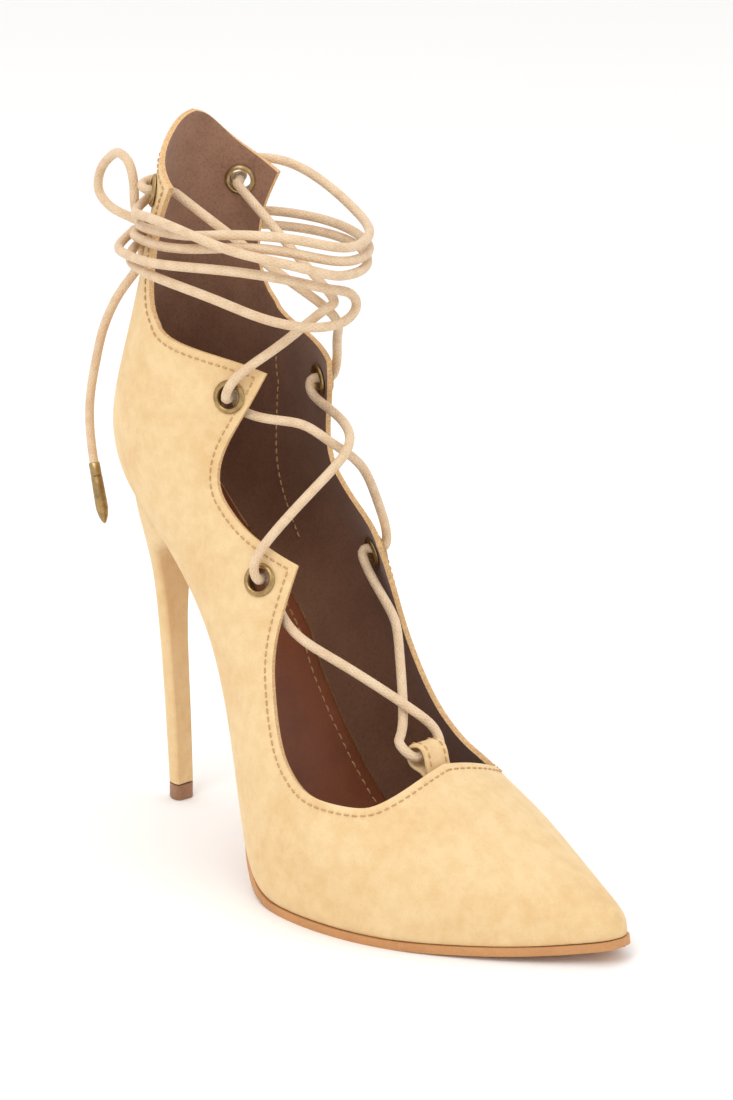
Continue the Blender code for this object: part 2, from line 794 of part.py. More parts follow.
def make_heel(collection, shoe):
    """Covered stiletto heel, from the seat down to the top lift."""
    near, far = edge_line(0.0, GAP)
    seat = [i for i, point in enumerate(near) if point.x < BREAST_X]
    rings = [ring_from([near[i] for i in seat] + [far[i] for i in reversed(seat[:-1])])]
    for front_x, front_z, back_x, back_z, half_width, widest, front_power, back_power in HEEL:
        turns = [-0.25 - 0.75 * i / 30 for i in range(31)] + [1.0 - 0.75 * i / 30 for i in range(1, 31)]
        arc = [oval((front_x, front_z), (back_x, back_z), half_width, widest, front_power, back_power, 0.0, turn)
               for turn in turns]
        rings.append(ring_from(arc))
    add("heel", loft_mesh("heel", rings), "suede", collection, shoe)


def make_lift(collection, shoe):
    """Top lift under the heel, which stands on the floor."""
    front_x, _, back_x, _, half_width, widest, front_power, back_power = HEEL[-1]
    turns = [-0.12 - 0.88 * i / 12 for i in range(13)] + [1.0 - 0.88 * i / 12 for i in range(1, 13)]
    rings = []
    for height, shrink in ((LIFT_TOP, 0.0), (LIFT_BEVEL, 0.0), (0.0, LIFT_BEVEL)):
        rings.append([oval((front_x - shrink, height), (back_x + shrink, height), half_width - shrink, widest,
                           front_power, back_power, 0.0, turn) for turn in turns])
    add("top_lift", loft_mesh("top_lift", rings), "lift", collection, shoe)


def make_keeper(collection, shoe):
    """Narrow loop up the middle of the back, for the laces."""
    rows = []
    for station, distance in KEEPER:
        point, outward, _ = last_frame(station, 0.0)
        middle = point + outward * distance
        rows.append([middle + Vector((0.0, y * KEEPER_WIDTH / 2, 0.0)) for y in (-1, 0, 1)])
    keeper = add("back_loop", grid_mesh("back_loop", rows), "suede", collection, shoe)
    solid(keeper, KEEPER_THICKNESS, -1)


def make_tab(collection, shoe):
    """Folded tab at the throat, whose bight holds the middle of the lace."""
    point, outward, along = last_frame(VAMP_LINE[0][0], 1.0)
    rows = []
    for behind, height in TAB:
        middle = point + along * behind + outward * height
        rows.append([middle + Vector((0.0, y * TAB_WIDTH / 2, 0.0)) for y in (-1, 0, 1)])
    tab = add("throat_tab", grid_mesh("throat_tab", rows), "suede", collection, shoe)
    solid(tab, TAB_THICKNESS, 0)


def tube_line(places, step):
    """Even points along the smooth curve through a lace's places, with their directions."""
    curve = Spline(places)
    fine = [Vector(curve.at(i / 12)) for i in range(12 * (len(places) - 1) + 1)]
    length = sum((b - a).length for a, b in zip(fine, fine[1:]))
    points = [between(fine, place) for place in evenly(fine, max(3, round(length / step) + 1))]
    ahead = [(b - a).normalized() for a, b in zip([points[0]] + points, points[1:] + [points[-1]])]
    return points, ahead


def make_tube(name, places, step, collection, shoe):
    """Stretch of lace that other parts hold in place."""
    points, ahead = tube_line(places, step)
    side = ahead[0].orthogonal().normalized()
    rings = []
    for point, forward in zip(points, ahead):
        side = (side - forward * side.dot(forward)).normalized()
        up = forward.cross(side)
        rings.append([point + (side * cos(2 * pi * k / CORD_SIDES) + up * sin(2 * pi * k / CORD_SIDES)) * CORD / 2
                      for k in range(CORD_SIDES)])
    add(name, loft_mesh(name, rings), "cord", collection, shoe)


def make_free_cord(name, places, collection, shoe):
    """Loose stretch of lace, as a curve with a round section."""
    points, _ = tube_line(places, FREE_STEP)
    route = bpy.data.curves.new(name, "CURVE")
    route.dimensions = "3D"
    route.bevel_depth = CORD / 2
    route.bevel_resolution = 2
    route.use_fill_caps = True
    spline = route.splines.new("POLY")
    spline.points.add(len(points) - 1)
    for spot, point in zip(spline.points, points):
        spot.co = (*point, 1.0)
    route.materials.append(finish("cord"))
    cord = bpy.data.objects.new(name, route)
    collection.objects.link(cord)
    cord.parent = shoe


def make_turned(name, profile, foot, axis, material, collection, shoe):
    """Small round solid along an axis, from rows of distance and radius."""
    side = axis.orthogonal().normalized()
    up = axis.cross(side)
    rings = [[foot + axis * distance + (side * cos(pi * k / 4) + up * sin(pi * k / 4)) * radius for k in range(8)]
             for distance, radius in profile]
    add(name, loft_mesh(name, rings), material, collection, shoe)


def make_lace(collection, shoe):
    """Lace: its crossings, the turns round the ankle, the knot and bow, and two ends with metal tips."""
    make_tube("lace_crossings", LACE_CROSSINGS, CROSSING_STEP, collection, shoe)
    make_tube("ankle_wrap_outer", WRAP_OUTER, WRAP_STEP, collection, shoe)
    make_tube("ankle_wrap_inner", WRAP_INNER, WRAP_STEP, collection, shoe)
    make_turned("lace_knot", KNOT, Vector(KNOT_PLACE), Vector((0.0, 0.0, 1.0)), "cord", collection, shoe)
    make_free_cord("bow_loop_long", BOW_LONG, collection, shoe)
    make_free_cord("bow_loop_short", BOW_SHORT, collection, shoe)
    for side, places in (("outer", END_OUTER), ("inner", END_INNER)):
        make_free_cord(f"lace_end_{side}", places, collection, shoe)
        points, ahead = tube_line(places, FREE_STEP)
        make_turned(f"lace_tip_{side}", TIP, points[-1] + ahead[-1] * TIP_GAP, ahead[-1], "brass", collection, shoe)


def main():
    for leftover in list(bpy.data.objects):
        bpy.data.objects.remove(leftover)
    collection = bpy.data.collections.new("lace_up_heel")
    cutters = bpy.data.collections.new("cutters")
    bpy.context.scene.collection.children.link(collection)
    bpy.context.scene.collection.children.link(cutters)
    shoe = bpy.data.objects.new("shoe", None)
    collection.objects.link(shoe)
    shoe.location = -Vector(ORIGIN)
    make_upper(collection, cutters, shoe)
    make_outsole(collection, shoe)
    make_insole(collection, shoe)
    make_heel(collection, shoe)
    make_lift(collection, shoe)
    make_eyelets(collection, shoe)
    make_keeper(collection, shoe)
    make_tab(collection, shoe)
    make_lace(collection, shoe)


main()
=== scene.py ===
from math import cos, pi, sin

import bmesh
import bpy
import numpy as np
from mathutils import Matrix, Vector


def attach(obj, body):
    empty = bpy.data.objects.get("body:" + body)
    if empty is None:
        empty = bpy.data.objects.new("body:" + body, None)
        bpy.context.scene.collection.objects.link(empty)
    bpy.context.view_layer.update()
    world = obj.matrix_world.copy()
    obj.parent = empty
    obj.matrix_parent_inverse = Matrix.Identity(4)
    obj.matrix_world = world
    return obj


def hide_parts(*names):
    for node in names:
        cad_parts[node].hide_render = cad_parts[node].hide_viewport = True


bl_info = {
    "name": "Lace up heel",
    "version": (1, 0, 0),
    "blender": (4, 5, 0),
    "location": "View3D > Sidebar > Heel",
    "description": "Dresses a pointed lace up heel in suede, leather, brass and waxed cord",
    "category": "Object",
}

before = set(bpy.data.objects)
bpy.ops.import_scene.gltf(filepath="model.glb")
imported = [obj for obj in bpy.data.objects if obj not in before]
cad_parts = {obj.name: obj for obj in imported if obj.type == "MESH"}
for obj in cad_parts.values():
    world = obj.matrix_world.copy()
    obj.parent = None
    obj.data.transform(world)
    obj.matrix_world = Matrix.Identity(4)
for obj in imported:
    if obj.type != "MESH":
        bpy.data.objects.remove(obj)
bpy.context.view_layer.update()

# The tables give places from the middle of the heel's floor contact, with the toe towards +X, in metres.
# ORIGIN is the middle of the shoe's box seen from there.
ORIGIN = Vector((0.0896, -0.0070, 0.0))

# The last, a row for each section from the toe round to the collar. low is the section's lowest or rearmost
# point seen from the side and high is its highest or foremost. widest is how far up from low it is widest.
# A power of 2 makes that half of the section an ellipse and more makes it boxier. swing is the shift of the
# section's middle towards the inner side.
# low_x, low_z, high_x, high_z, half_width, widest, low_power, high_power, swing
LAST = (
    (0.1975, 0.0090, 0.1975, 0.0092, 0.00015, 0.45, 2.5, 2.0, 0.0065),
    (0.1960, 0.0066, 0.1950, 0.0160, 0.0048, 0.35, 3.5, 2.0, 0.0060),
    (0.1900, 0.0052, 0.1880, 0.0200, 0.0100, 0.32, 4.0, 2.0, 0.0048),
    (0.1770, 0.0013, 0.1760, 0.0260, 0.0190, 0.30, 4.5, 2.0, 0.0020),
    (0.1600, -0.0002, 0.1610, 0.0340, 0.0285, 0.30, 5.0, 2.0, -0.0013),
    (0.1420, -0.0010, 0.1450, 0.0425, 0.0365, 0.30, 5.0, 2.0, -0.0042),
    (0.1230, -0.0013, 0.1300, 0.0505, 0.0410, 0.30, 5.0, 2.0, -0.0062),
    (0.1040, -0.0013, 0.1170, 0.0610, 0.0425, 0.30, 5.0, 2.0, -0.0070),
    (0.0880, -0.0005, 0.1060, 0.0740, 0.0415, 0.34, 5.0, 1.9, -0.0062),
    (0.0740, 0.0085, 0.0970, 0.0890, 0.0385, 0.38, 4.0, 1.8, -0.0046),
    (0.0600, 0.0340, 0.0900, 0.1040, 0.0345, 0.40, 3.5, 1.7, -0.0028),
    (0.0430, 0.0655, 0.0830, 0.1190, 0.0310, 0.42, 3.4, 1.6, -0.0010),
    (0.0220, 0.0890, 0.0770, 0.1350, 0.0290, 0.42, 3.4, 1.55, 0.0000),
    (0.0020, 0.1045, 0.0720, 0.1510, 0.0290, 0.42, 3.2, 1.5, 0.0005),
    (-0.0130, 0.1160, 0.0690, 0.1650, 0.0295, 0.42, 2.7, 1.5, 0.0008),
    (-0.0210, 0.1310, 0.0660, 0.1790, 0.0290, 0.42, 2.3, 1.5, 0.0008),
    (-0.0195, 0.1500, 0.0640, 0.1930, 0.0275, 0.42, 2.1, 1.5, 0.0008),
    (-0.0135, 0.1720, 0.0620, 0.2060, 0.0260, 0.43, 2.0, 1.6, 0.0006),
    (-0.0075, 0.1940, 0.0610, 0.2200, 0.0250, 0.44, 2.0, 1.8, 0.0003),
    (-0.0015, 0.2170, 0.0600, 0.2360, 0.0245, 0.45, 2.0, 1.9, 0.0000),
    (0.0045, 0.2400, 0.0600, 0.2540, 0.0245, 0.45, 2.0, 2.0, 0.0000),
)
BREAST_X = 0.0140

# The bottom of the upper from the side: x, z.
BOARD = (
    (-0.0300, 0.1324),
    (BREAST_X, 0.0976),
    (0.0220, 0.0909),
    (0.0330, 0.0806),
    (0.0430, 0.0685),
    (0.0520, 0.0530),
    (0.0600, 0.0378),
    (0.0670, 0.0247),
    (0.0740, 0.0136),
    (0.0810, 0.0070),
    (0.0890, 0.0039),
    (0.0980, 0.0030),
    (0.1380, 0.0030),
    (0.1460, 0.0032),
    (0.1600, 0.0039),
    (0.1770, 0.0052),
    (0.1900, 0.0068),
    (0.2000, 0.0088),
)

# The topline, one table for each stretch between two corners: station on the last, turn round the section.
# A turn of 0 is the middle of the bottom or back, and 1 the middle of the top or front.
VAMP_LINE = (
    (5.90, 1.000),
    (5.83, 0.920),
    (5.85, 0.840),
    (6.00, 0.775),
    (6.35, 0.730),
    (7.15, 0.680),
    (7.85, 0.660),
    (8.50, 0.650),
    (9.30, 0.650),
    (9.80, 0.658),
    (10.10, 0.680),
    (10.35, 0.715),
    (10.75, 0.775),
)
LOW_SCALLOP = (
    (10.75, 0.775),
    (11.20, 0.715),
    (11.60, 0.668),
    (11.95, 0.638),
    (12.30, 0.622),
    (12.60, 0.622),
    (12.95, 0.645),
    (13.35, 0.690),
    (13.80, 0.745),
    (14.35, 0.800),
)
HIGH_SCALLOP = (
    (14.35, 0.800),
    (14.80, 0.745),
    (15.30, 0.675),
    (15.75, 0.605),
    (16.20, 0.530),
    (16.60, 0.470),
    (17.10, 0.420),
    (17.60, 0.395),
    (18.10, 0.395),
    (18.45, 0.418),
    (18.75, 0.450),
)
COLLAR_LINE = (
    (18.75, 0.450),
    (19.10, 0.345),
    (19.50, 0.215),
    (19.88, 0.090),
    (20.00, 0.000),
)
# A stretch of the topline, where along the bottom edge its ribs start and end, and how many ribs it has.
STRETCHES = (
    (VAMP_LINE, 0.00, 0.58, 84),
    (LOW_SCALLOP, 0.58, 0.76, 34),
    (HIGH_SCALLOP, 0.76, 0.92, 40),
    (COLLAR_LINE, 0.92, 1.00, 20),
)
# How the ribs run: their power is RIB_FAN at the toe, grows by RIB_TURN_IN to the seat and stops at RIB_LEAN.
# Before the station TOE_RIBS it falls off by the power TOE_FAN. Behind the stations of the REAR rows it goes
# over to REAR_LEAN, and the ribs start more steeply by REAR_CLIMB.
RIB_FAN = 0.6
RIB_TURN_IN = 1.6
RIB_LEAN = 1.5
TOE_RIBS = 2.0
TOE_FAN = 0.4
REAR_LEAN = 2.0
REAR_LEAN_FROM = (12.2, 13.0)
REAR_CLIMB = 0.4
REAR_CLIMB_FROM = (10.5, 12.0)
# Rows up the wall, set closer towards the topline by the power ROW_CLOSE.
ROWS = 40
ROW_CLOSE = 1.15
# Steps that a curve is read at between two rows of its table.
FINE = 16

WALL = 0.0018
# The wall thins to this share at the pointed toe, over a stretch that starts behind the tip.
TOE_WALL = 0.12
TOE_WALL_FROM = 0.002
TOE_WALL_OVER = 0.022
# Between the upper and the outsole.
GAP = 0.0003
SOLE_THICKNESS = 0.0027
SOLE_EDGE = 0.0008
INSOLE_THICKNESS = 0.0016
INSOLE_FROM = 1.0
# How far the sock's edge reaches into the wall, and the heel's rim inside the upper's face and up into it.
SOCK_TUCK = 0.0005
SEAT_TUCK = 0.0001
SEAT_RISE = 0.0010
# Up to this station the edge turns evenly from the side to straight ahead.
TOE_ROUND = 0.5

# Eyelets: name, station, turn.
EYELETS = (
    ("low", 11.00, 0.655),
    ("middle", 14.20, 0.715),
    ("top", 18.80, 0.280),
)
HOLE_RADIUS = 0.0044
# An eyelet's section: radius, height over the upper's face.
EYELET_PROFILE = (
    (0.00350, -0.00250),
    (0.00350, 0.00020),
    (0.00362, 0.00075),
    (0.00395, 0.00112),
    (0.00440, 0.00122),
    (0.00490, 0.00108),
    (0.00532, 0.00072),
    (0.00550, 0.00026),
    (0.00538, 0.00006),
    (0.00400, 0.00005),
    (0.00400, -0.00225),
    (0.00500, -0.00225),
    (0.00515, -0.00260),
    (0.00490, -0.00305),
    (0.00430, -0.00340),
    (0.00375, -0.00330),
)
EYELET_STEPS = 40

# The heel from the seat down to the top lift.
# front_x, front_z, back_x, back_z, half_width, widest, front_power, back_power
HEEL = (
    (0.0092, 0.0955, -0.0180, 0.1185, 0.0165, 0.10, 4.0, 2.2),
    (0.0042, 0.0929, -0.0170, 0.1125, 0.0145, 0.15, 3.6, 2.1),
    (0.0005, 0.0893, -0.0158, 0.1055, 0.0118, 0.22, 3.4, 2.0),
    (-0.0014, 0.0848, -0.0143, 0.0970, 0.0092, 0.28, 3.2, 2.0),
    (-0.0019, 0.0790, -0.0128, 0.0880, 0.0072, 0.32, 3.2, 2.0),
    (-0.0015, 0.0710, -0.0114, 0.0780, 0.0058, 0.34, 3.2, 2.0),
    (-0.0008, 0.0600, -0.0099, 0.0640, 0.0048, 0.36, 3.2, 2.0),
    (0.0004, 0.0440, -0.0080, 0.0460, 0.0043, 0.36, 3.2, 2.0),
    (0.0018, 0.0260, -0.0063, 0.0265, 0.0040, 0.36, 3.2, 2.0),
    (0.0029, 0.0058, -0.0046, 0.0058, 0.0038, 0.36, 3.2, 2.0),
)
# Points round a ring and along its front, steps between two rows, and the turn of a front corner with the
# steps from there to the back.
HEEL_ARC = 72
HEEL_FRONT = 16
HEEL_FINE = 6
HEEL_CORNER = 0.25
HEEL_TURNS = 60

# Loop at the back: station, distance from the upper.
KEEPER = (
    (18.47, 0.0003),
    (18.56, 0.0004),
    (18.65, 0.0018),
    (18.77, 0.0043),
    (18.93, 0.0050),
    (19.10, 0.0046),
    (19.28, 0.0026),
    (19.46, 0.0009),
    (19.58, 0.0003),
    (19.72, 0.0003),
)
# Tab at the throat: distance behind the throat's edge along the vamp, distance from the vamp's outer face.
TAB = (
    (-0.0070, -0.0054),
    (-0.0010, -0.0054),
    (0.0030, -0.0050),
    (0.0062, -0.0058),
    (0.0092, -0.0046),
    (0.0104, -0.0016),
    (0.0088, 0.0012),
    (0.0058, 0.0018),
    (0.0030, -0.0004),
    (0.0008, -0.0026),
    (-0.0020, -0.0037),
    (-0.0070, -0.0039),
)

# Lace: a round cord, and places along it as x, y, z. It is drawn through these points as a smooth curve.
CORD = 0.0031
CORD_SIDES = 16
CORD_STEP = 0.0011
KNOT_PLACE = (-0.0097, -0.0066, 0.1986)
# From the outer top eyelet down to the tab and up to the inner top eyelet.
LACE_CROSSINGS = (
    (0.0118, -0.0134, 0.2147),
    (0.0196, -0.0103, 0.2096),
    (0.0327, -0.0052, 0.2012),
    (0.0483, 0.0009, 0.1911),
    (0.0640, 0.0071, 0.1810),
    (0.0581, 0.0155, 0.1714),
    (0.0507, 0.0226, 0.1624),
    (0.0469, 0.0244, 0.1549),
    (0.0454, 0.0209, 0.1543),
    (0.0439, 0.0175, 0.1538),
    (0.0458, 0.0166, 0.1495),
    (0.0577, 0.0135, 0.1469),
    (0.0706, 0.0083, 0.1445),
    (0.0788, 0.0001, 0.1396),
    (0.0768, -0.0109, 0.1295),
    (0.0722, -0.0219, 0.1178),
    (0.0691, -0.0295, 0.1074),
    (0.0695, -0.0297, 0.1014),
    (0.0684, -0.0265, 0.1001),
    (0.0671, -0.0222, 0.0984),
    (0.0755, -0.0235, 0.0885),
    (0.0868, -0.0227, 0.0819),
    (0.0997, -0.0169, 0.0755),
    (0.1152, -0.0049, 0.0636),
    (0.1202, 0.0016, 0.0560),
    (0.1243, -0.0008, 0.0517),
    (0.1243, -0.0066, 0.0516),
    (0.1243, -0.0124, 0.0517),
    (0.1200, -0.0144, 0.0556),
    (0.1142, -0.0072, 0.0594),
    (0.0994, 0.0057, 0.0746),
    (0.0868, 0.0156, 0.0819),
    (0.0755, 0.0195, 0.0885),
    (0.0665, 0.0203, 0.0989),
    (0.0683, 0.0245, 0.1002),
    (0.0697, 0.0277, 0.1012),
    (0.0691, 0.0281, 0.1074),
    (0.0710, 0.0210, 0.1204),
    (0.0746, 0.0102, 0.1330),
    (0.0715, 0.0003, 0.1412),
    (0.0658, -0.0066, 0.1469),
    (0.0564, -0.0119, 0.1478),
    (0.0458, -0.0151, 0.1495),
    (0.0439, -0.0158, 0.1538),
    (0.0454, -0.0193, 0.1543),
    (0.0468, -0.0228, 0.1549),
    (0.0507, -0.0210, 0.1624),
    (0.0604, -0.0121, 0.1728),
    (0.0691, -0.0019, 0.1838),
    (0.0673, 0.0041, 0.1874),
    (0.0506, 0.0069, 0.1955),
    (0.0340, 0.0097, 0.2037),
    (0.0201, 0.0121, 0.2105),
    (0.0118, 0.0135, 0.2145),
)
# From the outer top eyelet under the back loop and twice round the ankle to the knot.
WRAP_OUTER = (
    (0.0108, -0.0146, 0.2149),
    (0.0082, -0.0179, 0.2155),
    (0.0059, -0.0209, 0.2160),
    (0.0008, -0.0172, 0.2173),
    (-0.0038, 0.0000, 0.2174),
    (-0.0020, 0.0109, 0.2189),
    (0.0042, 0.0211, 0.2212),
    (0.0162, 0.0292, 0.2214),
    (0.0313, 0.0323, 0.2168),
    (0.0460, 0.0314, 0.2110),
    (0.0615, 0.0249, 0.2070),
    (0.0722, 0.0137, 0.2054),
    (0.0760, 0.0000, 0.2052),
    (0.0706, -0.0162, 0.2090),
    (0.0558, -0.0281, 0.2096),
    (0.0390, -0.0324, 0.2074),
    (0.0215, -0.0310, 0.2062),
    (0.0060, -0.0238, 0.2048),
    (-0.0046, -0.0119, 0.2034),
    (-0.0075, -0.0000, 0.2027),
    (-0.0032, 0.0147, 0.2028),
    (0.0114, 0.0279, 0.2040),
    (0.0355, 0.0325, 0.2036),
    (0.0558, 0.0281, 0.2018),
    (0.0706, 0.0163, 0.2008),
    (0.0760, 0.0000, 0.2008),
    (0.0706, -0.0162, 0.2046),
    (0.0587, -0.0266, 0.2058),
    (0.0425, -0.0320, 0.2036),
    (0.0249, -0.0319, 0.2019),
    (0.0100, -0.0274, 0.2014),
    (-0.0005, -0.0206, 0.2004),
    (-0.0058, -0.0144, 0.2004),
    (-0.0063, -0.0115, 0.1999),
)
# From the inner top eyelet under the back loop and once round the ankle to the knot.
WRAP_INNER = (
    (0.0108, 0.0148, 0.2148),
    (0.0082, 0.0180, 0.2155),
    (0.0059, 0.0210, 0.2161),
    (0.0010, 0.0176, 0.2146),
    (-0.0048, 0.0000, 0.2134),
    (-0.0021, -0.0129, 0.2114),
    (0.0067, -0.0261, 0.2098),
    (0.0217, -0.0349, 0.2112),
    (0.0394, -0.0366, 0.2100),
    (0.0578, -0.0316, 0.2056),
    (0.0720, -0.0209, 0.2020),
    (0.0775, -0.0092, 0.1983),
    (0.0775, -0.0000, 0.1966),
    (0.0722, 0.0137, 0.1966),
    (0.0557, 0.0281, 0.1980),
    (0.0355, 0.0325, 0.1994),
    (0.0147, 0.0292, 0.1994),
    (-0.0001, 0.0204, 0.1986),
    (-0.0071, 0.0093, 0.1978),
    (-0.0096, 0.0006, 0.1976),
    (-0.0098, -0.0024, 0.1982),
)
# The bow's long loop, forward along the outer side and back.
BOW_LONG = (
    (-0.0089, -0.0100, 0.1955),
    (-0.0030, -0.0190, 0.1948),
    (0.0050, -0.0270, 0.1938),
    (0.0140, -0.0320, 0.1932),
    (0.0260, -0.0350, 0.1926),
    (0.0380, -0.0350, 0.1914),
    (0.0518, -0.0305, 0.1882),
    (0.0625, -0.0220, 0.1834),
    (0.0695, -0.0110, 0.1802),
    (0.0723, 0.0000, 0.1796),
    (0.0716, 0.0085, 0.1814),
    (0.0712, 0.0110, 0.1852),
    (0.0730, 0.0055, 0.1896),
    (0.0738, -0.0040, 0.1922),
    (0.0706, -0.0135, 0.1950),
    (0.0630, -0.0235, 0.1974),
    (0.0520, -0.0305, 0.1982),
    (0.0380, -0.0354, 0.1978),
    (0.0240, -0.0364, 0.1972),
    (0.0110, -0.0334, 0.1970),
    (0.0010, -0.0282, 0.1964),
    (-0.0062, -0.0214, 0.1968),
    (-0.0109, -0.0110, 0.1995),
)
# The bow's short loop, behind the heel.
BOW_SHORT = (
    (-0.0122, -0.0078, 0.2028),
    (-0.0066, -0.0150, 0.2077),
    (-0.0059, -0.0160, 0.2133),
    (-0.0075, -0.0155, 0.2189),
    (-0.0112, -0.0145, 0.2226),
    (-0.0170, -0.0130, 0.2239),
    (-0.0229, -0.0110, 0.2222),
    (-0.0293, -0.0100, 0.2172),
    (-0.0326, -0.0090, 0.2109),
    (-0.0312, -0.0085, 0.2067),
    (-0.0256, -0.0080, 0.2034),
    (-0.0186, -0.0070, 0.2017),
    (-0.0141, -0.0058, 0.2002),
)
# The end that hangs on the outer side.
END_OUTER = (
    (-0.0123, -0.0084, 0.1940),
    (-0.0083, -0.0110, 0.1886),
    (-0.0174, -0.0120, 0.1775),
    (-0.0256, -0.0125, 0.1642),
    (-0.0299, -0.0125, 0.1518),
    (-0.0332, -0.0125, 0.1373),
    (-0.0328, -0.0125, 0.1233),
    (-0.0302, -0.0125, 0.1119),
)
# The end that hangs on the inner side.
END_INNER = (
    (-0.0122, -0.0041, 0.1966),
    (-0.0180, 0.0015, 0.1885),
    (-0.0220, 0.0050, 0.1780),
    (-0.0252, 0.0075, 0.1670),
    (-0.0280, 0.0095, 0.1550),
    (-0.0295, 0.0110, 0.1420),
    (-0.0290, 0.0120, 0.1290),
    (-0.0270, 0.0125, 0.1170),
)

# A tip's section: distance from the cord's end, radius.
TIP = (
    (-0.0040, 0.00165),
    (-0.0038, 0.00190),
    (0.0002, 0.00192),
    (0.0004, 0.00184),
    (0.0008, 0.00184),
    (0.0010, 0.00196),
    (0.0090, 0.00210),
    (0.0120, 0.00210),
    (0.0145, 0.00160),
    (0.0163, 0.00090),
    (0.0171, 0.00030),
)

# Stitching: the stitch, the space after it, the thread's radius and its height over the leather.
STITCH = 0.0019
STITCH_SPACE = 0.0007
THREAD = 0.00028
STITCH_HEIGHT = 0.00012
# One stitch: share of its length, how far it lifts in thread radii, its girth as a share of the thread's.
STITCH_RINGS = ((0.0, -0.54, 0.45), (0.12, 0.12, 0.9), (0.5, 0.6, 1.0), (0.88, 0.12, 0.9), (1.0, -0.54, 0.45))
STITCH_SIDES = 6
# How far in from the topline its row runs, the share of that which every point keeps from the whole topline,
# and the least distance between the points that the row is drawn through.
TOPLINE_INSET = 0.0026
INSET_KEPT = 0.96
TOPLINE_STEP = 0.0006
# Raised seams: their half width, sides and steps, and how far beside the lining's seam its stitches run.
SEAM = 0.00035
SEAM_SIDES = 8
SEAM_STEPS = 80
SEAM_STITCHES = 0.0014
# Station and turn of the lining's upright seam, from the topline down to the sock.
LINING_SEAM = ((15.61, 0.53), (14.78, 0.50), (13.82, 0.46), (12.86, 0.40), (12.0, 0.34))
# The sock's row: how far in from the wall's face, its stitch and space, its height and where it starts.
SOCK_INSET = 0.0036
SOCK_STITCH = 0.0024
SOCK_SPACE = 0.0010
SOCK_HEIGHT = 0.0001
SOCK_ROW_FROM = 5.0
# Stitch rows on the back loop and the throat tab, from the middle of the strap.
STRAP_STITCHES = 0.0034
# The back loop and the throat tab: half width, thickness and steps between two rows of their tables. The loop
# keeps a least distance from the upper. ACROSS has the places of the points across either of them.
LOOP_HALF = 0.0045
LOOP_THICKNESS = 0.0012
LOOP_FINE = 8
LOOP_LEAST = 0.0002
TAB_HALF = 0.005
TAB_THICKNESS = 0.0011
TAB_FINE = 6
ACROSS = (-1, -0.6, -0.2, 0.2, 0.6, 1)
# Rows along the outsole and the sock.
SOLE_ROWS = 180
SOCK_ROWS = 160
# Edges sharper than the first angle are drawn sharp, and those sharper than the second are rounded.
SHARP = 0.9
ROUNDED = 0.8
# The knot: points along its cord, its half size, and how deep its strands weave.
KNOT_POINTS = 160
KNOT_SIZE = (0.00105, 0.00115, 0.0015)
KNOT_WEAVE = 1.25
# Girth of the cord at its cut ends, as a share.
CORD_END = 0.8
TIP_SIDES = 24

# Camera: its place and target in the row frame, roll in degrees, lens on a 36 mm sensor.
EYE = Vector((0.7403, -0.7216, 0.4166))
TARGET = Vector((-0.0458, 0.0515, 0.0904))
ROLL = 1.051
LENS = 111.1
SENSOR = 36.0
# Soft lights: name, place, size and power.
LIGHTS = (
    ("key", (0.35, -1.1, 1.5), 0.9, 9.0),
    ("fill", (1.4, 0.5, 0.9), 1.2, 2.0),
    ("top", (-0.4, 0.2, 1.8), 1.6, 4.5),
)
FLOOR_HALF = 6.0
WORLD_COLOUR = (1.0, 0.99, 0.975, 1.0)
WORLD_STRENGTH = 0.97


class HeelSizes(bpy.types.PropertyGroup):
    """Sizes of the finishes that a user would change."""
    stitch: bpy.props.FloatProperty(
        name="Stitch", description="Length of one stitch", default=STITCH, unit="LENGTH")
    stitch_space: bpy.props.FloatProperty(
        name="Stitch space", description="Space after a stitch", default=STITCH_SPACE, unit="LENGTH")
    nap: bpy.props.FloatProperty(
        name="Nap", description="Depth of the suede's nap in its bump", default=0.00022, unit="LENGTH")


def swatch(name, description, value):
    """A colour that the panel shows."""
    return bpy.props.FloatVectorProperty(name=name, description=description, subtype="COLOR", size=3,
                                         default=value)


class HeelColours(bpy.types.PropertyGroup):
    """Colours of the finishes, as linear values."""
    suede: swatch("Suede", "Suede of the upper and heel", (0.79, 0.585, 0.325))
    # Suede shade is painted shade: the suede's colour as it looks in shadow, which the upper's finish lays
    # over the lit colour in random brushed patches.
    suede_painted_shade: swatch("Suede painted shade", "Suede in painted shadow colour", (0.71, 0.48, 0.235))
    lining: swatch("Lining", "Brown lining", (0.20, 0.092, 0.050))
    sock: swatch("Sock", "Reddish brown sock", (0.26, 0.075, 0.028))
    sole: swatch("Sole", "Tan outsole", (0.56, 0.27, 0.10))
    cord: swatch("Cord", "Waxed cotton cord", (0.76, 0.575, 0.385))
    brass: swatch("Brass", "Antique brass", (0.36, 0.23, 0.09))
    thread: swatch("Thread", "Sewing thread", (0.62, 0.38, 0.17))


class Spline:
    """Smooth curve through the rows of a table, read at a row number."""

    def __init__(self, rows):
        self.rows = np.array(rows, float)
        count = len(self.rows)
        system = np.eye(count)
        right = np.zeros_like(self.rows)
        for i in range(1, count - 1):
            system[i, i - 1:i + 2] = 1, 4, 1
            right[i] = 6 * (self.rows[i + 1] - 2 * self.rows[i] + self.rows[i - 1])
        self.bend = np.linalg.solve(system, right)

    def at(self, place):
        row = min(max(int(place), 0), len(self.rows) - 2)
        after = place - row
        before = 1 - after
        return (self.rows[row] * before + self.rows[row + 1] * after
                + (before ** 3 - before) * self.bend[row] / 6
                + (after ** 3 - after) * self.bend[row + 1] / 6)


LAST_CURVE = Spline(LAST)
BOARD_X = [row[0] for row in BOARD]
BOARD_Z = [row[1] for row in BOARD]


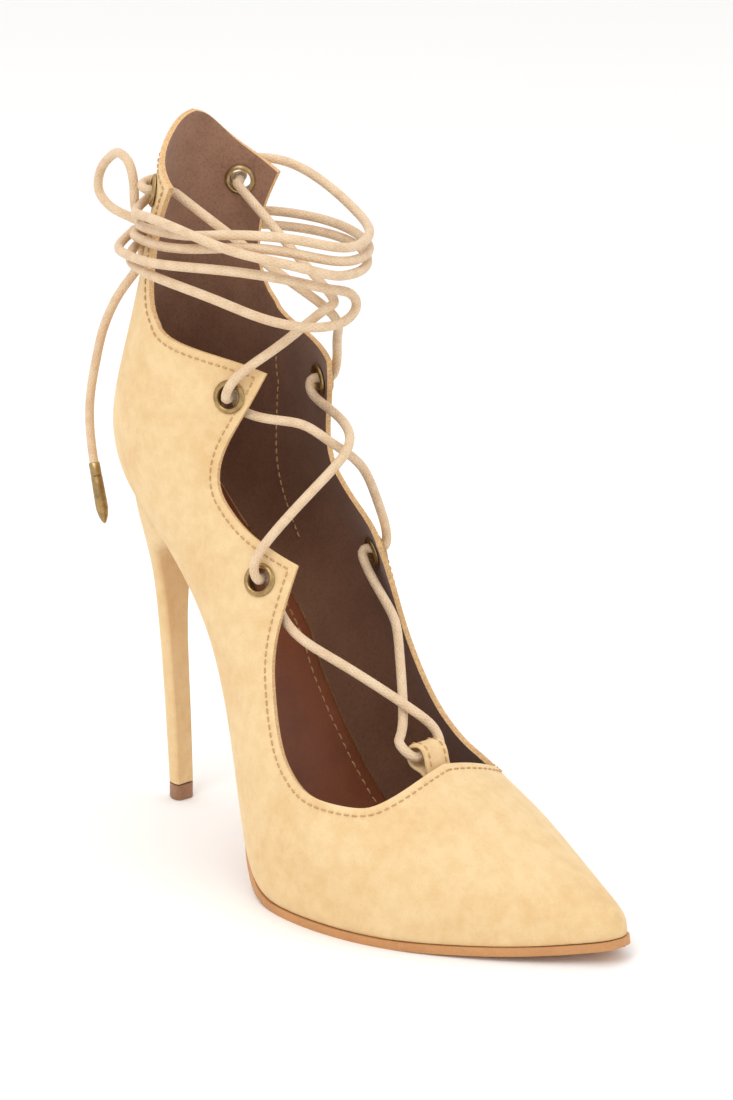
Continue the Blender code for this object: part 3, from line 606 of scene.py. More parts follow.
def board_slopes():
    """Slope of the board at each row: level beside a level stretch, so that the tread stays flat."""
    steps = [(BOARD_Z[i + 1] - BOARD_Z[i]) / (BOARD_X[i + 1] - BOARD_X[i]) for i in range(len(BOARD) - 1)]
    slopes = [steps[0]]
    for before, after in zip(steps, steps[1:]):
        slopes.append(2 * before * after / (before + after) if before * after > 0 else 0.0)
    slopes.append(steps[-1])
    slopes[1] = steps[0]
    return slopes


BOARD_SLOPES = board_slopes()


def board_height(x):
    """Height of the upper's bottom edge at a distance from the heel."""
    row = min(max(int(np.searchsorted(BOARD_X, x)) - 1, 0), len(BOARD) - 2)
    run = BOARD_X[row + 1] - BOARD_X[row]
    t = (x - BOARD_X[row]) / run
    return ((2 * t ** 3 - 3 * t ** 2 + 1) * BOARD_Z[row] + (t ** 3 - 2 * t ** 2 + t) * run * BOARD_SLOPES[row]
            + (3 * t ** 2 - 2 * t ** 3) * BOARD_Z[row + 1] + (t ** 3 - t ** 2) * run * BOARD_SLOPES[row + 1])


def board_normal(x):
    """Direction square to the board at x, pointing up."""
    step = 0.0005
    return Vector((board_height(x - step) - board_height(x + step), 0.0, 2 * step)).normalized()


def oval(low, high, half_width, widest, low_power, high_power, swing, turn):
    """Point on a section that stands on the line from low to high, both as x and z."""
    angle = abs(turn) * pi
    lower = angle <= pi / 2
    power = 2 / (low_power if lower else high_power)
    reach = half_width * max(sin(angle), 0.0) ** power
    spread = abs(cos(angle)) ** power
    rise = widest * (1 - spread) if lower else widest + (1 - widest) * spread
    side = -1 if turn < 0 else 1
    return Vector((low[0] + (high[0] - low[0]) * rise, side * reach + swing,
                   low[1] + (high[1] - low[1]) * rise))


def last_point(station, turn):
    """Point on the upper's outer face. A turn below 0 is on the outer side of the foot."""
    row = LAST_CURVE.at(station)
    return oval(row[0:2], row[2:4], max(row[4], 0.0), row[5], row[6], row[7], row[8], turn)


def last_frame(station, turn):
    """Point, outward direction and direction along the stations on the upper's outer face."""
    along = last_point(station + 0.02, turn) - last_point(station - 0.02, turn)
    around = last_point(station, turn + 0.004) - last_point(station, turn - 0.004)
    return last_point(station, turn), along.cross(around).normalized(), along.normalized()


def bottom_turn(station):
    """Turn at which a section leaves the board: 0 where the whole section lies above it."""
    low, high = 0.0, 0.5
    point = last_point(station, low)
    if point.z > board_height(point.x):
        return 0.0
    for _ in range(30):
        middle = (low + high) / 2
        point = last_point(station, middle)
        if point.z < board_height(point.x):
            low = middle
        else:
            high = middle
    return high


def seat_station():
    """Station at which the middle of the back leaves the board."""
    low, high = 13.0, 16.0
    for _ in range(30):
        middle = (low + high) / 2
        if bottom_turn(middle) > 0:
            low = middle
        else:
            high = middle
    return low


SEAT = seat_station()


def evenly(points, count):
    """Places along a run of points, at equal distances, as fractional indices."""
    steps = [(b - a).length for a, b in zip(points, points[1:])]
    reach = np.concatenate([[0.0], np.cumsum(steps)])
    return np.interp(np.linspace(0, reach[-1], count), reach, range(len(points)))


def between(points, place):
    """Point at a fractional index along a run of points."""
    i = min(int(place), len(points) - 2)
    return points[i].lerp(points[i + 1], place - i)


def read_curve(table, steps=FINE):
    """Close rows along the smooth curve through a table."""
    curve = Spline(table)
    return [curve.at(i / steps) for i in range(steps * (len(table) - 1) + 1)]


BOTTOM_STEPS = 2000
NEAR_TOE = [0.0, 0.02, 0.05, 0.1, 0.2, 0.35]


def bottom_edge():
    """Stations and turns along the upper's bottom edge, from the toe to the middle of the back."""
    along = [TOE_ROUND + (SEAT - TOE_ROUND) * sin(pi / 2 * i / 180) for i in range(181)]
    stations = NEAR_TOE + along
    turns = [bottom_turn(s) for s in stations]
    turns[-1] = 0.0
    return stations, turns


EDGE_STATIONS, EDGE_TURNS = bottom_edge()
EDGE_POINTS = [last_point(s, t) for s, t in zip(EDGE_STATIONS, EDGE_TURNS)]


def ribs():
    """Ends of the upper's ribs on one side, as station and turn at the bottom and at the topline."""
    result = []
    bottoms = evenly(EDGE_POINTS, BOTTOM_STEPS + 1)
    for table, start, end, count in STRETCHES:
        curve = Spline(table)
        fine = read_curve(table)
        places = evenly([last_point(s, t) for s, t in fine], count + 1)
        for i, place in enumerate(places[:-1]):
            top = curve.at(place / FINE)
            spot = bottoms[round(BOTTOM_STEPS * (start + (end - start) * i / count))]
            station = np.interp(spot, range(len(EDGE_STATIONS)), EDGE_STATIONS)
            turn = np.interp(spot, range(len(EDGE_TURNS)), EDGE_TURNS)
            result.append(((station, turn), (top[0], top[1])))
    result[0] = ((0.0, 1.0), (VAMP_LINE[0][0], 1.0))
    result.append(((SEAT, 0.0), (COLLAR_LINE[-1][0], 0.0)))
    return result


def ease(value, low, high):
    """0 below low, 1 above high and smooth between."""
    share = min(1.0, max(0.0, (value - low) / (high - low)))
    return share * share * (3 - 2 * share)


def rib_place(rib, fraction):
    """Station and turn on a rib. Ribs fan out at the toe. Towards the back they climb at once from the bottom
    edge and lean back before they meet the scallops, so that none crosses the next."""
    (station, turn), (top_station, top_turn) = rib
    lean = min(RIB_LEAN, RIB_FAN + RIB_TURN_IN * station / SEAT)
    lean *= min(1.0, (station / TOE_RIBS) ** TOE_FAN)
    lean += (REAR_LEAN - lean) * ease(station, *REAR_LEAN_FROM)
    climb = REAR_CLIMB * ease(station, *REAR_CLIMB_FROM) * min(1.0, 8 * turn)
    return (station + (top_station - station) * fraction,
            turn + (top_turn - turn) * fraction ** lean + climb * fraction * (1 - fraction) ** 3)


class Wire:
    """One socket in a material. Arithmetic on it adds the Math nodes."""

    def __init__(self, recipe, socket):
        self.recipe = recipe
        self.socket = socket

    def math(self, operation, *values):
        return self.recipe.node("ShaderNodeMath", {"operation": operation}, *values)

    def __add__(self, other):
        return self.math("ADD", self, other)

    def __radd__(self, other):
        return self.math("ADD", other, self)

    def __sub__(self, other):
        return self.math("SUBTRACT", self, other)

    def __rsub__(self, other):
        return self.math("SUBTRACT", other, self)

    def __mul__(self, other):
        return self.math("MULTIPLY", self, other)

    def __rmul__(self, other):
        return self.math("MULTIPLY", other, self)

    def sine(self):
        return self.math("SINE", self)

    def ramp(self, low, high):
        """0 below low, 1 above high and smooth between."""
        return self.recipe.node("ShaderNodeMapRange", {"interpolation_type": "SMOOTHSTEP"}, self, low, high)


class Recipe:
    """A material that is written as an expression."""

    def __init__(self, name):
        self.material = bpy.data.materials.new(name)
        self.material.use_nodes = True
        self.tree = self.material.node_tree
        self.shader = self.tree.nodes["Principled BSDF"]

    def node(self, kind, settings=None, *values, out=0, **named):
        """Adds a node of any kind: its settings first, then its sockets by order or by name."""
        node = self.tree.nodes.new(kind)
        for key, value in (settings or {}).items():
            setattr(node, key, value)
        for key, value in list(enumerate(values)) + list(named.items()):
            if value is not None:
                self.set(node.inputs[key], value)
        return Wire(self, node.outputs[out])

    def set(self, socket, value):
        if isinstance(value, Wire):
            self.tree.links.new(value.socket, socket)
        elif hasattr(value, "__len__") and len(value) == 3 and socket.type == "RGBA":
            socket.default_value = (*value, 1.0)
        else:
            socket.default_value = value

    def place(self):
        return self.node("ShaderNodeTexCoord", out="Object")

    def part(self, place, axis):
        return self.node("ShaderNodeSeparateXYZ", None, place, out="XYZ".index(axis))

    def noise(self, place, scale, detail=2.0, roughness=0.5, distortion=0.0):
        return self.node("ShaderNodeTexNoise", None, place, Scale=scale, Detail=detail, Roughness=roughness,
                         Distortion=distortion)

    def stretch(self, place, scale):
        return self.node("ShaderNodeVectorMath", {"operation": "MULTIPLY"}, place, scale)

    def blend(self, factor, first, second):
        node = self.tree.nodes.new("ShaderNodeMix")
        node.data_type = "RGBA"
        colours = [socket for socket in node.inputs if socket.type == "RGBA"]
        self.set(node.inputs[0], factor)
        self.set(colours[0], first)
        self.set(colours[1], second)
        return Wire(self, [socket for socket in node.outputs if socket.type == "RGBA"][0])

    def bump(self, height, distance, strength=1.0):
        return self.node("ShaderNodeBump", None, Height=height, Distance=distance, Strength=strength)

    def finish(self, **sockets):
        for name, value in sockets.items():
            self.set(self.shader.inputs[name.replace("_", " ").title().replace("Ior", "IOR")], value)
        return self.material


def colours():
    return bpy.context.scene.heel_colours


def sizes():
    return bpy.context.scene.heel_sizes


def written_once(name):
    """A finish is written the first time it is asked for, and later found again by its name."""
    def keep(write):
        return lambda: bpy.data.materials.get(name) or write(Recipe(name))
    return keep


@written_once("tan suede")
def suede_finish(recipe):
    """Tan suede: fine short nap, with painted shade laid in soft brushed patches and painted shade in the
    hollows of the nap.
    """
    place = recipe.place()
    brushed = recipe.noise(recipe.stretch(place, (34.0, 60.0, 40.0)), 1.0, 4.0, 0.62, 0.6)
    patches = brushed.ramp(0.40, 0.66)
    mottle = recipe.noise(place, 190.0, 3.0, 0.6)
    nap = recipe.noise(place, 1700.0, 3.0, 0.7)
    fibre = recipe.noise(recipe.stretch(place, (900.0, 2600.0, 1500.0)), 1.0, 2.0, 0.6)
    # Painted shade: the suede's colour in shadow is laid over the lit colour in brushed and mottled patches.
    shade = recipe.blend(0.5 * patches + 0.5 * (mottle.ramp(0.35, 0.68)), tuple(colours().suede),
                         tuple(colours().suede_painted_shade))
    # Painted shade in the hollows of the nap: where the fine nap noise is low, the colour is darkened towards
    # deep brown.
    shade = recipe.blend(nap.ramp(0.30, 0.46) * -0.20 + 0.20, shade, (0.50, 0.27, 0.10))
    height = nap * 0.6 + fibre * 0.4 + mottle * 0.5
    return recipe.finish(base_color=shade, roughness=0.92, sheen_weight=0.35, sheen_roughness=0.45,
                         sheen_tint=(1.0, 0.86, 0.66), specular_ior_level=0.18,
                         normal=recipe.bump(height, sizes().nap, 0.75))


@written_once("suede cut edge")
def raw_edge_finish(recipe):
    """Cut edge of the suede over its lining."""
    place = recipe.place()
    fluff = recipe.noise(place, 1400.0, 3.0, 0.7)
    shade = recipe.blend(fluff.ramp(0.35, 0.7), (0.60, 0.36, 0.17), (0.82, 0.55, 0.29))
    return recipe.finish(base_color=shade, roughness=0.95, specular_ior_level=0.15,
                         normal=recipe.bump(fluff, 0.0003, 0.8))


@written_once("brown lining")
def lining_finish(recipe):
    """Brown brushed lining, with painted light that makes it a little lighter towards the collar."""
    place = recipe.place()
    height = recipe.part(place, "Z")
    # Painted light: from a height of 0.12 up to 0.22 the lining goes over to a paler brown, as if more light
    # fell on its top near the collar.
    pale = recipe.blend(height.ramp(0.12, 0.22), tuple(colours().lining), (0.33, 0.18, 0.115))
    grain = recipe.noise(place, 1100.0, 3.0, 0.65)
    blotch = recipe.noise(place, 60.0, 3.0, 0.6)
    shade = recipe.blend(blotch.ramp(0.35, 0.7) * 0.35, pale, (0.13, 0.052, 0.026))
    shade = recipe.blend(grain.ramp(0.30, 0.55) * -0.3 + 0.3, shade, (0.08, 0.035, 0.02))
    return recipe.finish(base_color=shade, roughness=0.84, sheen_weight=0.2, sheen_roughness=0.5,
                         specular_ior_level=0.25, normal=recipe.bump(grain, 0.00018, 0.7))


def leather(name, colour, dark, rough, grain_size, depth, scuffed=0.0):
    """Smooth leather with pores, soft blotches and a few scuffs."""
    recipe = Recipe(name)
    place = recipe.place()
    pores = recipe.node("ShaderNodeTexVoronoi", {"feature": "DISTANCE_TO_EDGE"}, place, Scale=grain_size)
    crease = pores.ramp(0.0, 0.12)
    blotch = recipe.noise(place, 45.0, 4.0, 0.6)
    shade = recipe.blend(blotch.ramp(0.35, 0.7) * 0.5, colour, dark)
    shade = recipe.blend(0.25 - 0.25 * crease, shade, dark)
    scratch = recipe.noise(recipe.stretch(place, (60.0, 700.0, 200.0)), 1.0, 3.0, 0.6)
    scuff = scratch.ramp(0.60, 0.72) * scuffed
    shade = recipe.blend(scuff, shade, tuple(min(1.0, c * 1.25 + 0.05) for c in colour))
    height = crease * 0.6 + blotch * 0.4
    return recipe.finish(base_color=shade, roughness=rough + 0.15 * scratch.ramp(0.45, 0.7),
                         normal=recipe.bump(height, depth, 0.5))


@written_once("antique brass")
def brass_finish(recipe):
    """Antique brass, dark in its hollows and rubbed bright on its rims."""
    place = recipe.place()
    tarnish = recipe.noise(place, 520.0, 4.0, 0.65)
    worn = recipe.node("ShaderNodeNewGeometry", out="Pointiness").ramp(0.48, 0.60)
    shade = recipe.blend(tarnish.ramp(0.35, 0.7), tuple(colours().brass), (0.13, 0.085, 0.045))
    shade = recipe.blend(worn * 0.6, shade, (0.62, 0.44, 0.20))
    return recipe.finish(base_color=shade, metallic=1.0, roughness=0.24 + 0.28 * tarnish,
                         normal=recipe.bump(tarnish, 0.00006, 0.5))


@written_once("tan thread")
def thread_finish(recipe):
    """Twisted sewing thread."""
    place = recipe.place()
    twist = recipe.noise(place, 2600.0, 2.0, 0.5)
    shade = recipe.blend(twist.ramp(0.35, 0.7), tuple(colours().thread), (0.42, 0.23, 0.09))
    return recipe.finish(base_color=shade, roughness=0.7, normal=recipe.bump(twist, 0.0001, 0.5))


@written_once("waxed cotton cord")
def cord_finish(recipe):
    """Round waxed cotton cord: a fine braid whose strands run both ways round it, with painted shade between
    the strands.
    """
    uv = recipe.node("ShaderNodeTexCoord", out="UV")
    around = recipe.part(uv, "X") * (2 * pi)
    along = recipe.part(uv, "Y") * 2600.0
    left = (around * 8.0 + along).sine()
    right = (around * 8.0 - along).sine()
    braid = left.math("MAXIMUM", left, right)
    place = recipe.place()
    wax = recipe.noise(place, 240.0, 3.0, 0.6)
    shade = recipe.blend(wax.ramp(0.35, 0.7) * 0.5, tuple(colours().cord), (0.60, 0.39, 0.22))
    # Painted shade between the braid's strands: where the braid is low, the colour is darkened.
    shade = recipe.blend(0.16 - 0.16 * braid.ramp(-0.2, 0.5), shade, (0.40, 0.23, 0.12))
    return recipe.finish(base_color=shade, roughness=0.62, specular_ior_level=0.35, sheen_weight=0.15,
                         normal=recipe.bump(braid, 0.00012, 0.6))


def mesh_from(name, form, outward=False):
    """Keep a form as a mesh, with its faces turned outward where asked."""
    if outward:
        bmesh.ops.recalc_face_normals(form, faces=form.faces)
    mesh = bpy.data.meshes.new(name)
    form.to_mesh(mesh)
    form.free()
    return mesh


def put(name, data):
    """New object in the scene."""
    thing = bpy.data.objects.new(name, data)
    bpy.context.scene.collection.objects.link(thing)
    return thing


def mesh_from_grid(name, rows, closed=False):
    """Surface through rows of points. A row of one point closes to a corner."""
    form = bmesh.new()
    made = [[form.verts.new(point) for point in row] for row in rows]
    pairs = list(zip(made, made[1:]))
    if closed:
        pairs.append((made[-1], made[0]))
    for first, second in pairs:
        for i in range(max(len(first), len(second)) - 1):
            corners = [first[min(i, len(first) - 1)], first[min(i + 1, len(first) - 1)],
                       second[min(i + 1, len(second) - 1)], second[min(i, len(second) - 1)]]
            form.faces.new(list(dict.fromkeys(corners)))
    return mesh_from(name, form)


def loft(name, rings):
    """Closed solid through rings of equal count, capped at both ends."""
    form = bmesh.new()
    join_rings(form, [[form.verts.new(point) for point in ring] for ring in rings])
    return mesh_from(name, form, outward=True)


def add_piece(name, mesh, materials, slot, replaced=()):
    """Put a mesh in the scene as one piece that rides on the shoe."""
    mesh.transform(Matrix.Translation(-ORIGIN))
    piece = put(name, mesh)
    for material in materials:
        mesh.materials.append(material)
    mesh.shade_smooth()
    mesh.set_sharp_from_angle(angle=SHARP)
    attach(piece, "root")
    if replaced:
        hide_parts(*replaced)
    return piece


def thicken(piece, thickness, offset, inner=0, rim=0):
    """Give an open surface its thickness, with its own finish inside and at its rim."""
    shell = piece.modifiers.new("thickness", "SOLIDIFY")
    shell.thickness = thickness
    shell.offset = offset
    shell.use_even_offset = False
    shell.material_offset = inner
    shell.material_offset_rim = rim


def soften(piece, width, angle=ROUNDED):
    """Round the sharp edges of a piece."""
    bevel = piece.modifiers.new("soft edges", "BEVEL")
    bevel.width = width
    bevel.segments = 2
    bevel.limit_method = "ANGLE"
    bevel.angle_limit = angle


def eyelet_places():
    """Name and placing of each eyelet, its Z along the outward direction."""
    for name, station, turn in EYELETS:
        for side_name, side in (("outer", -1), ("inner", 1)):
            point, outward, along = last_frame(station, side * turn)
            across = along.cross(outward).normalized()
            up = outward.cross(across)
            placing = Matrix((across, up, outward)).transposed().to_4x4()
            placing.translation = point
            yield f"eyelet_{side_name}_{name}", placing


def cut_holes(piece, depth):
    """Cut the six eyelet holes."""
    form = bmesh.new()
    for _, placing in eyelet_places():
        bmesh.ops.create_cone(form, cap_ends=True, segments=32, radius1=HOLE_RADIUS, radius2=HOLE_RADIUS,
                              depth=depth, matrix=Matrix.Translation(-ORIGIN) @ placing)
    cutter = put("holes", mesh_from("holes", form))
    cut = piece.modifiers.new("holes", "BOOLEAN")
    cut.operation = "DIFFERENCE"
    cut.solver = "EXACT"
    cut.object = cutter
    settle(piece)
    bpy.data.objects.remove(cutter)


def settle(piece):
    """Keep what a piece's modifiers make as its own mesh."""
    graph = bpy.context.evaluated_depsgraph_get()
    mesh = bpy.data.meshes.new_from_object(piece.evaluated_get(graph), preserve_all_data_layers=True,
                                           depsgraph=graph)
    piece.modifiers.clear()
    piece.data = mesh


def ring_round(middle, side, up, radius, count):
    """Even points round a middle, in the plane of two directions."""
    return [middle + (side * cos(2 * pi * k / count) + up * sin(2 * pi * k / count)) * radius
            for k in range(count)]


def join_rings(form, rings):
    """Faces between rings of equal count, and a cap at both ends."""
    for first, second in zip(rings, rings[1:]):
        for k in range(len(first)):
            j = (k + 1) % len(first)
            form.faces.new((first[k], first[j], second[j], second[k]))
    form.faces.new(list(reversed(rings[0])))
    form.faces.new(rings[-1])


def stitches(name, line, outward, slot="suede", length=None, space=None, height=STITCH_HEIGHT):
    """Row of stitches along a line of points, each sunk into the leather at its ends."""
    length = length or sizes().stitch
    space = space or sizes().stitch_space
    form = bmesh.new()
    steps = [(b - a).length for a, b in zip(line, line[1:])]
    reach = np.concatenate([[0.0], np.cumsum(steps)])
    count = max(1, int(reach[-1] / (length + space)))
    pitch = reach[-1] / count
    last = len(line) - 1
    for i in range(count):
        rings = []
        for share, lift, girth in STITCH_RINGS:
            place = np.interp(pitch * i + length * share, reach, range(len(line)))
            up = between(outward, place).normalized()
            ahead = between(line, min(place + 0.5, last)) - between(line, max(place - 0.5, 0))
            across = ahead.normalized().cross(up).normalized()
            centre = between(line, place) + up * (height + THREAD * lift)
            rings.append([form.verts.new(point)
                          for point in ring_round(centre, across, up, THREAD * girth, STITCH_SIDES)])
        join_rings(form, rings)
    add_piece(name, mesh_from(name, form, outward=True), [thread_finish()], slot)


def add_seam(name, line, finish):
    """Raised seam along a line of points."""
    add_piece(name, lace_tube(name, line, SEAM, SEAM_SIDES), [finish], "suede")


def topline(side):
    """Stations and turns along one side's topline, from the throat to the middle of the back."""
    result = []
    for table, *_ in STRETCHES:
        result += read_curve(table)[:-1]
    result.append(COLLAR_LINE[-1])
    return [(station, side * turn) for station, turn in result]


def inset_line(places, inset, side):
    """The topline moved in on the upper's face: points and outward directions."""
    points = [last_point(s, t) for s, t in places]
    line, outs = [], []
    for i, (station, turn) in enumerate(places):
        before, after = points[max(i - 2, 0)], points[min(i + 2, len(points) - 1)]
        _, outward, _ = last_frame(station, turn)
        inward = (after - before).cross(outward).normalized() * side
        moved = points[i] + inward * inset
        if min((point - moved).length for point in points) > INSET_KEPT * inset:
            line.append(moved)
            outs.append(outward)
    return line, outs


def thin_out(line, outs, closest):
    """Drop points that bunch up or double back at a corner."""
    kept, kept_outs = [line[0]], [outs[0]]
    for point, outward in zip(line[1:], outs[1:]):
        if (point - kept[-1]).length >= closest:
            kept.append(point)
            kept_outs.append(outward)
    return kept, kept_outs


class HEEL_OT_stage(bpy.types.Operator):
    """Pale floor, soft light and the camera"""
    bl_idname = "heel.stage"
    bl_label = "Stage"

    def execute(self, context):
        scene = context.scene
        form = bmesh.new()
        bmesh.ops.create_grid(form, x_segments=1, y_segments=1, size=FLOOR_HALF)
        mesh = mesh_from("floor", form)
        put("floor", mesh)
        recipe = Recipe("pale floor")
        # Faint smudges only change how rough the floor is.
        smudge = recipe.noise(recipe.place(), 3.0, 2.0, 0.5)
        mesh.materials.append(recipe.finish(base_color=(0.95, 0.95, 0.945), roughness=0.60 + 0.1 * smudge,
                                            specular_ior_level=0.20))
        world = bpy.data.worlds.new("studio")
        world.use_nodes = True
        background = world.node_tree.nodes["Background"]
        background.inputs["Color"].default_value = WORLD_COLOUR
        background.inputs["Strength"].default_value = WORLD_STRENGTH
        scene.world = world
        scene.view_settings.view_transform = "Standard"
        for name, place, size, power in LIGHTS:
            lamp = bpy.data.lights.new(name, "AREA")
            lamp.size = size
            lamp.energy = power
            light = put(name, lamp)
            light.location = place
            light.rotation_euler = (TARGET - Vector(place)).to_track_quat("-Z", "Y").to_euler()
        lens = bpy.data.cameras.new("camera")
        lens.lens = LENS
        lens.sensor_width = SENSOR
        lens.sensor_fit = "AUTO"
        lens.clip_start = 0.05
        camera = put("camera", lens)
        forward = (TARGET - EYE).normalized()
        right = forward.cross(Vector((0.0, 0.0, 1.0))).normalized()
        up = right.cross(forward)
        turn = ROLL * pi / 180
        rolled_right = right * cos(turn) + up * sin(turn)
        rolled_up = up * cos(turn) - right * sin(turn)
        camera.matrix_world = Matrix((rolled_right, rolled_up, -forward)).transposed().to_4x4()
        camera.location = EYE
        scene.camera = camera
        return {"FINISHED"}


class HEEL_OT_upper(bpy.types.Operator):
    """Suede upper with its lining, cut edge and stitching"""
    bl_idname = "heel.upper"
    bl_label = "Upper"

    def execute(self, context):
        near = ribs()
        rows = []
        for side, run in ((-1, near), (1, list(reversed(near[1:-1])))):
            for rib in run:
                row = []
                for i in range(ROWS + 1):
                    station, turn = rib_place(rib, 1 - (1 - i / ROWS) ** ROW_CLOSE)
                    row.append(last_point(station, side * turn))
                if rib[0][0] < TOE_ROUND:
                    row[0].z = min(row[0].z, board_height(row[0].x))
                rows.append(row)
        finishes = [suede_finish(), lining_finish(), raw_edge_finish()]
        upper = add_piece("suede_upper", mesh_from_grid("suede_upper", rows, closed=True), finishes, "suede",
                          ["upper"])
        self.thin_the_toe(upper)
        thicken(upper, WALL, -1, inner=1, rim=2)
        upper.modifiers["thickness"].vertex_group = "wall"
        cut_holes(upper, 6 * WALL)
        soften(upper, 0.00035, SHARP)
        self.add_stitching()
        return {"FINISHED"}

    def thin_the_toe(self, upper):
        """Let the wall thin out where the pointed toe is too narrow to hold two whole walls."""
        group = upper.vertex_groups.new(name="wall")
        for vertex in upper.data.vertices:
            to_tip = LAST[0][0] - ORIGIN.x - vertex.co.x
            share = (to_tip - TOE_WALL_FROM) / TOE_WALL_OVER
            group.add([vertex.index], min(1.0, max(TOE_WALL, share)), "REPLACE")

    def add_stitching(self):
        """One row round the topline, the raised back seam, and the lining's upright seams with their rows."""
        for side, name in ((-1, "outer"), (1, "inner")):
            line, outs = inset_line(topline(side), TOPLINE_INSET, side)
            stitches(f"topline_stitches_{name}", *thin_out(line, outs, TOPLINE_STEP))
        climb = (COLLAR_LINE[-1][0] - SEAT) / SEAM_STEPS
        add_seam("back_seam", [last_point(SEAT + climb * i, 0.0) for i in range(SEAM_STEPS + 1)],
                 raw_edge_finish())
        for side, name in ((-1, "outer"), (1, "inner")):
            seam, line, outs = [], [], []
            for station, turn in read_curve(LINING_SEAM):
                point, outward, along = last_frame(station, side * turn)
                outward = outward if outward.y * side > 0 else -outward
                seam.append(point - outward * WALL)
                line.append(seam[-1] - along * SEAM_STITCHES)
                outs.append(-outward)
            add_seam(f"lining_seam_{name}", seam, lining_finish())
            stitches(f"lining_stitches_{name}", line, outs)


class HEEL_OT_heel(bpy.types.Operator):
    """Covered heel with its top lift"""
    bl_idname = "heel.heel"
    bl_label = "Heel"

    def execute(self, context):
        near, far = edge_line(-SEAT_TUCK, -SEAT_RISE)
        seat = [i for i, point in enumerate(near) if point.x < BREAST_X]
        rings = [heel_ring([near[i] for i in seat] + [far[i] for i in reversed(seat[:-1])])]
        share = (1 - HEEL_CORNER) / HEEL_TURNS
        turns = [-HEEL_CORNER - share * i for i in range(HEEL_TURNS + 1)]
        turns += [1.0 - share * i for i in range(1, HEEL_TURNS + 1)]
        rows = read_curve(HEEL, HEEL_FINE)
        rings += [heel_ring([heel_point(row, turn) for turn in turns]) for row in rows]
        heel = add_piece("covered_heel", loft("covered_heel", rings), [suede_finish()], "suede", ["heel"])
        soften(heel, 0.0004)
        add_seam("heel_seam", [last_point(SEAT, 0.0)] + [heel_point(row, 1.0) for row in rows[2:]],
                 raw_edge_finish())
        lift = bpy.data.objects["top_lift"]
        lift.data.materials.clear()
        lift.data.materials.append(leather("heel lift", (0.34, 0.17, 0.085), (0.16, 0.08, 0.04), 0.42, 900.0,
                                           0.0001))
        return {"FINISHED"}


def heel_point(row, turn):
    """Point on the heel's section at a row of its curve."""
    return oval(row[0:2], row[2:4], *row[4:8], 0.0, turn)


def heel_ring(arc):
    """Ring of even points along an arc from one front corner round the back to the other, and the front."""
    ring = [between(arc, place) for place in evenly(arc, HEEL_ARC + 1)]
    ring += [arc[-1].lerp(arc[0], i / (HEEL_FRONT + 1)) for i in range(1, HEEL_FRONT + 1)]
    return ring


def edge_line(outset, drop):
    """Bottom edge of the upper on both sides, moved out in the board and down from it."""
    sides = []
    for side in (-1, 1):
        points = [last_point(s, side * t) for s, t in zip(EDGE_STATIONS, EDGE_TURNS)]
        moved = []
        for i, point in enumerate(points):
            along = points[min(i + 1, len(points) - 1)] - points[max(i - 1, 0)]
            ahead = 1 - EDGE_STATIONS[i] / TOE_ROUND
            if i == len(points) - 1:
                outward = Vector((-1.0, 0.0, 0.0))
            else:
                outward = along.cross(board_normal(point.x)).normalized() * side
            if ahead > 0:
                point.z = board_height(point.x)
                outward = Vector((0.0, side, 0.0)).lerp(Vector((1.0, 0.0, 0.0)), ahead).normalized()
            up = board_normal(point.x)
            outward = (outward - up * outward.dot(up)).normalized()
            moved.append(point + outward * outset - up * drop)
        sides.append(moved)
    return sides


def plate_rows(near, far, count, across=16):
    """Rows across a plate between its two edges, at even distances along it."""
    rows = []
    for place in evenly(near, count):
        a = between(near, place)
        b = between(far, place)
        rows.append([a] if (a - b).length < 0.0004 else [a.lerp(b, i / across) for i in range(across + 1)])
    return rows


def add_plate(name, edges, keep, count, thickness, width, finish, node):
    """Plate between its two edges, thickened downward, in place of the node that it hides."""
    near, far = ([edge[i] for i in keep] for edge in edges)
    piece = add_piece(name, mesh_from_grid(name, plate_rows(near, far, count)), [finish], node, [node])
    thicken(piece, thickness, -1)
    soften(piece, width)


class HEEL_OT_sole(bpy.types.Operator):
    """Outsole, and the sock inside with its stitched edge"""
    bl_idname = "heel.sole"
    bl_label = "Sole and sock"

    def execute(self, context):
        edges = edge_line(SOLE_EDGE, GAP)
        keep = [i for i, point in enumerate(edges[0]) if point.x > BREAST_X - SEAT_RISE]
        tan = leather("outsole leather", tuple(colours().sole), (0.40, 0.17, 0.06), 0.42, 700.0, 0.0001, 0.25)
        add_plate("leather_outsole", edges, keep, SOLE_ROWS, SOLE_THICKNESS, 0.0006, tan, "outsole")
        edges = edge_line(SOCK_TUCK - WALL, -INSOLE_THICKNESS)
        keep = [i for i, station in enumerate(EDGE_STATIONS) if station >= INSOLE_FROM]
        brown = leather("sock leather", tuple(colours().sock), (0.15, 0.04, 0.016), 0.4, 1100.0, 0.00012,
                        0.15)
        add_plate("sock", edges, keep, SOCK_ROWS, INSOLE_THICKNESS, 0.0004, brown, "insole")
        for name, line in zip(("outer", "inner"), edge_line(-WALL - SOCK_INSET, -INSOLE_THICKNESS)):
            run = [line[i] for i in keep if EDGE_STATIONS[i] > SOCK_ROW_FROM]
            outs = [board_normal(point.x) for point in run]
            stitches(f"sock_stitches_{name}", run, outs, "insole", SOCK_STITCH, SOCK_SPACE, SOCK_HEIGHT)
        return {"FINISHED"}


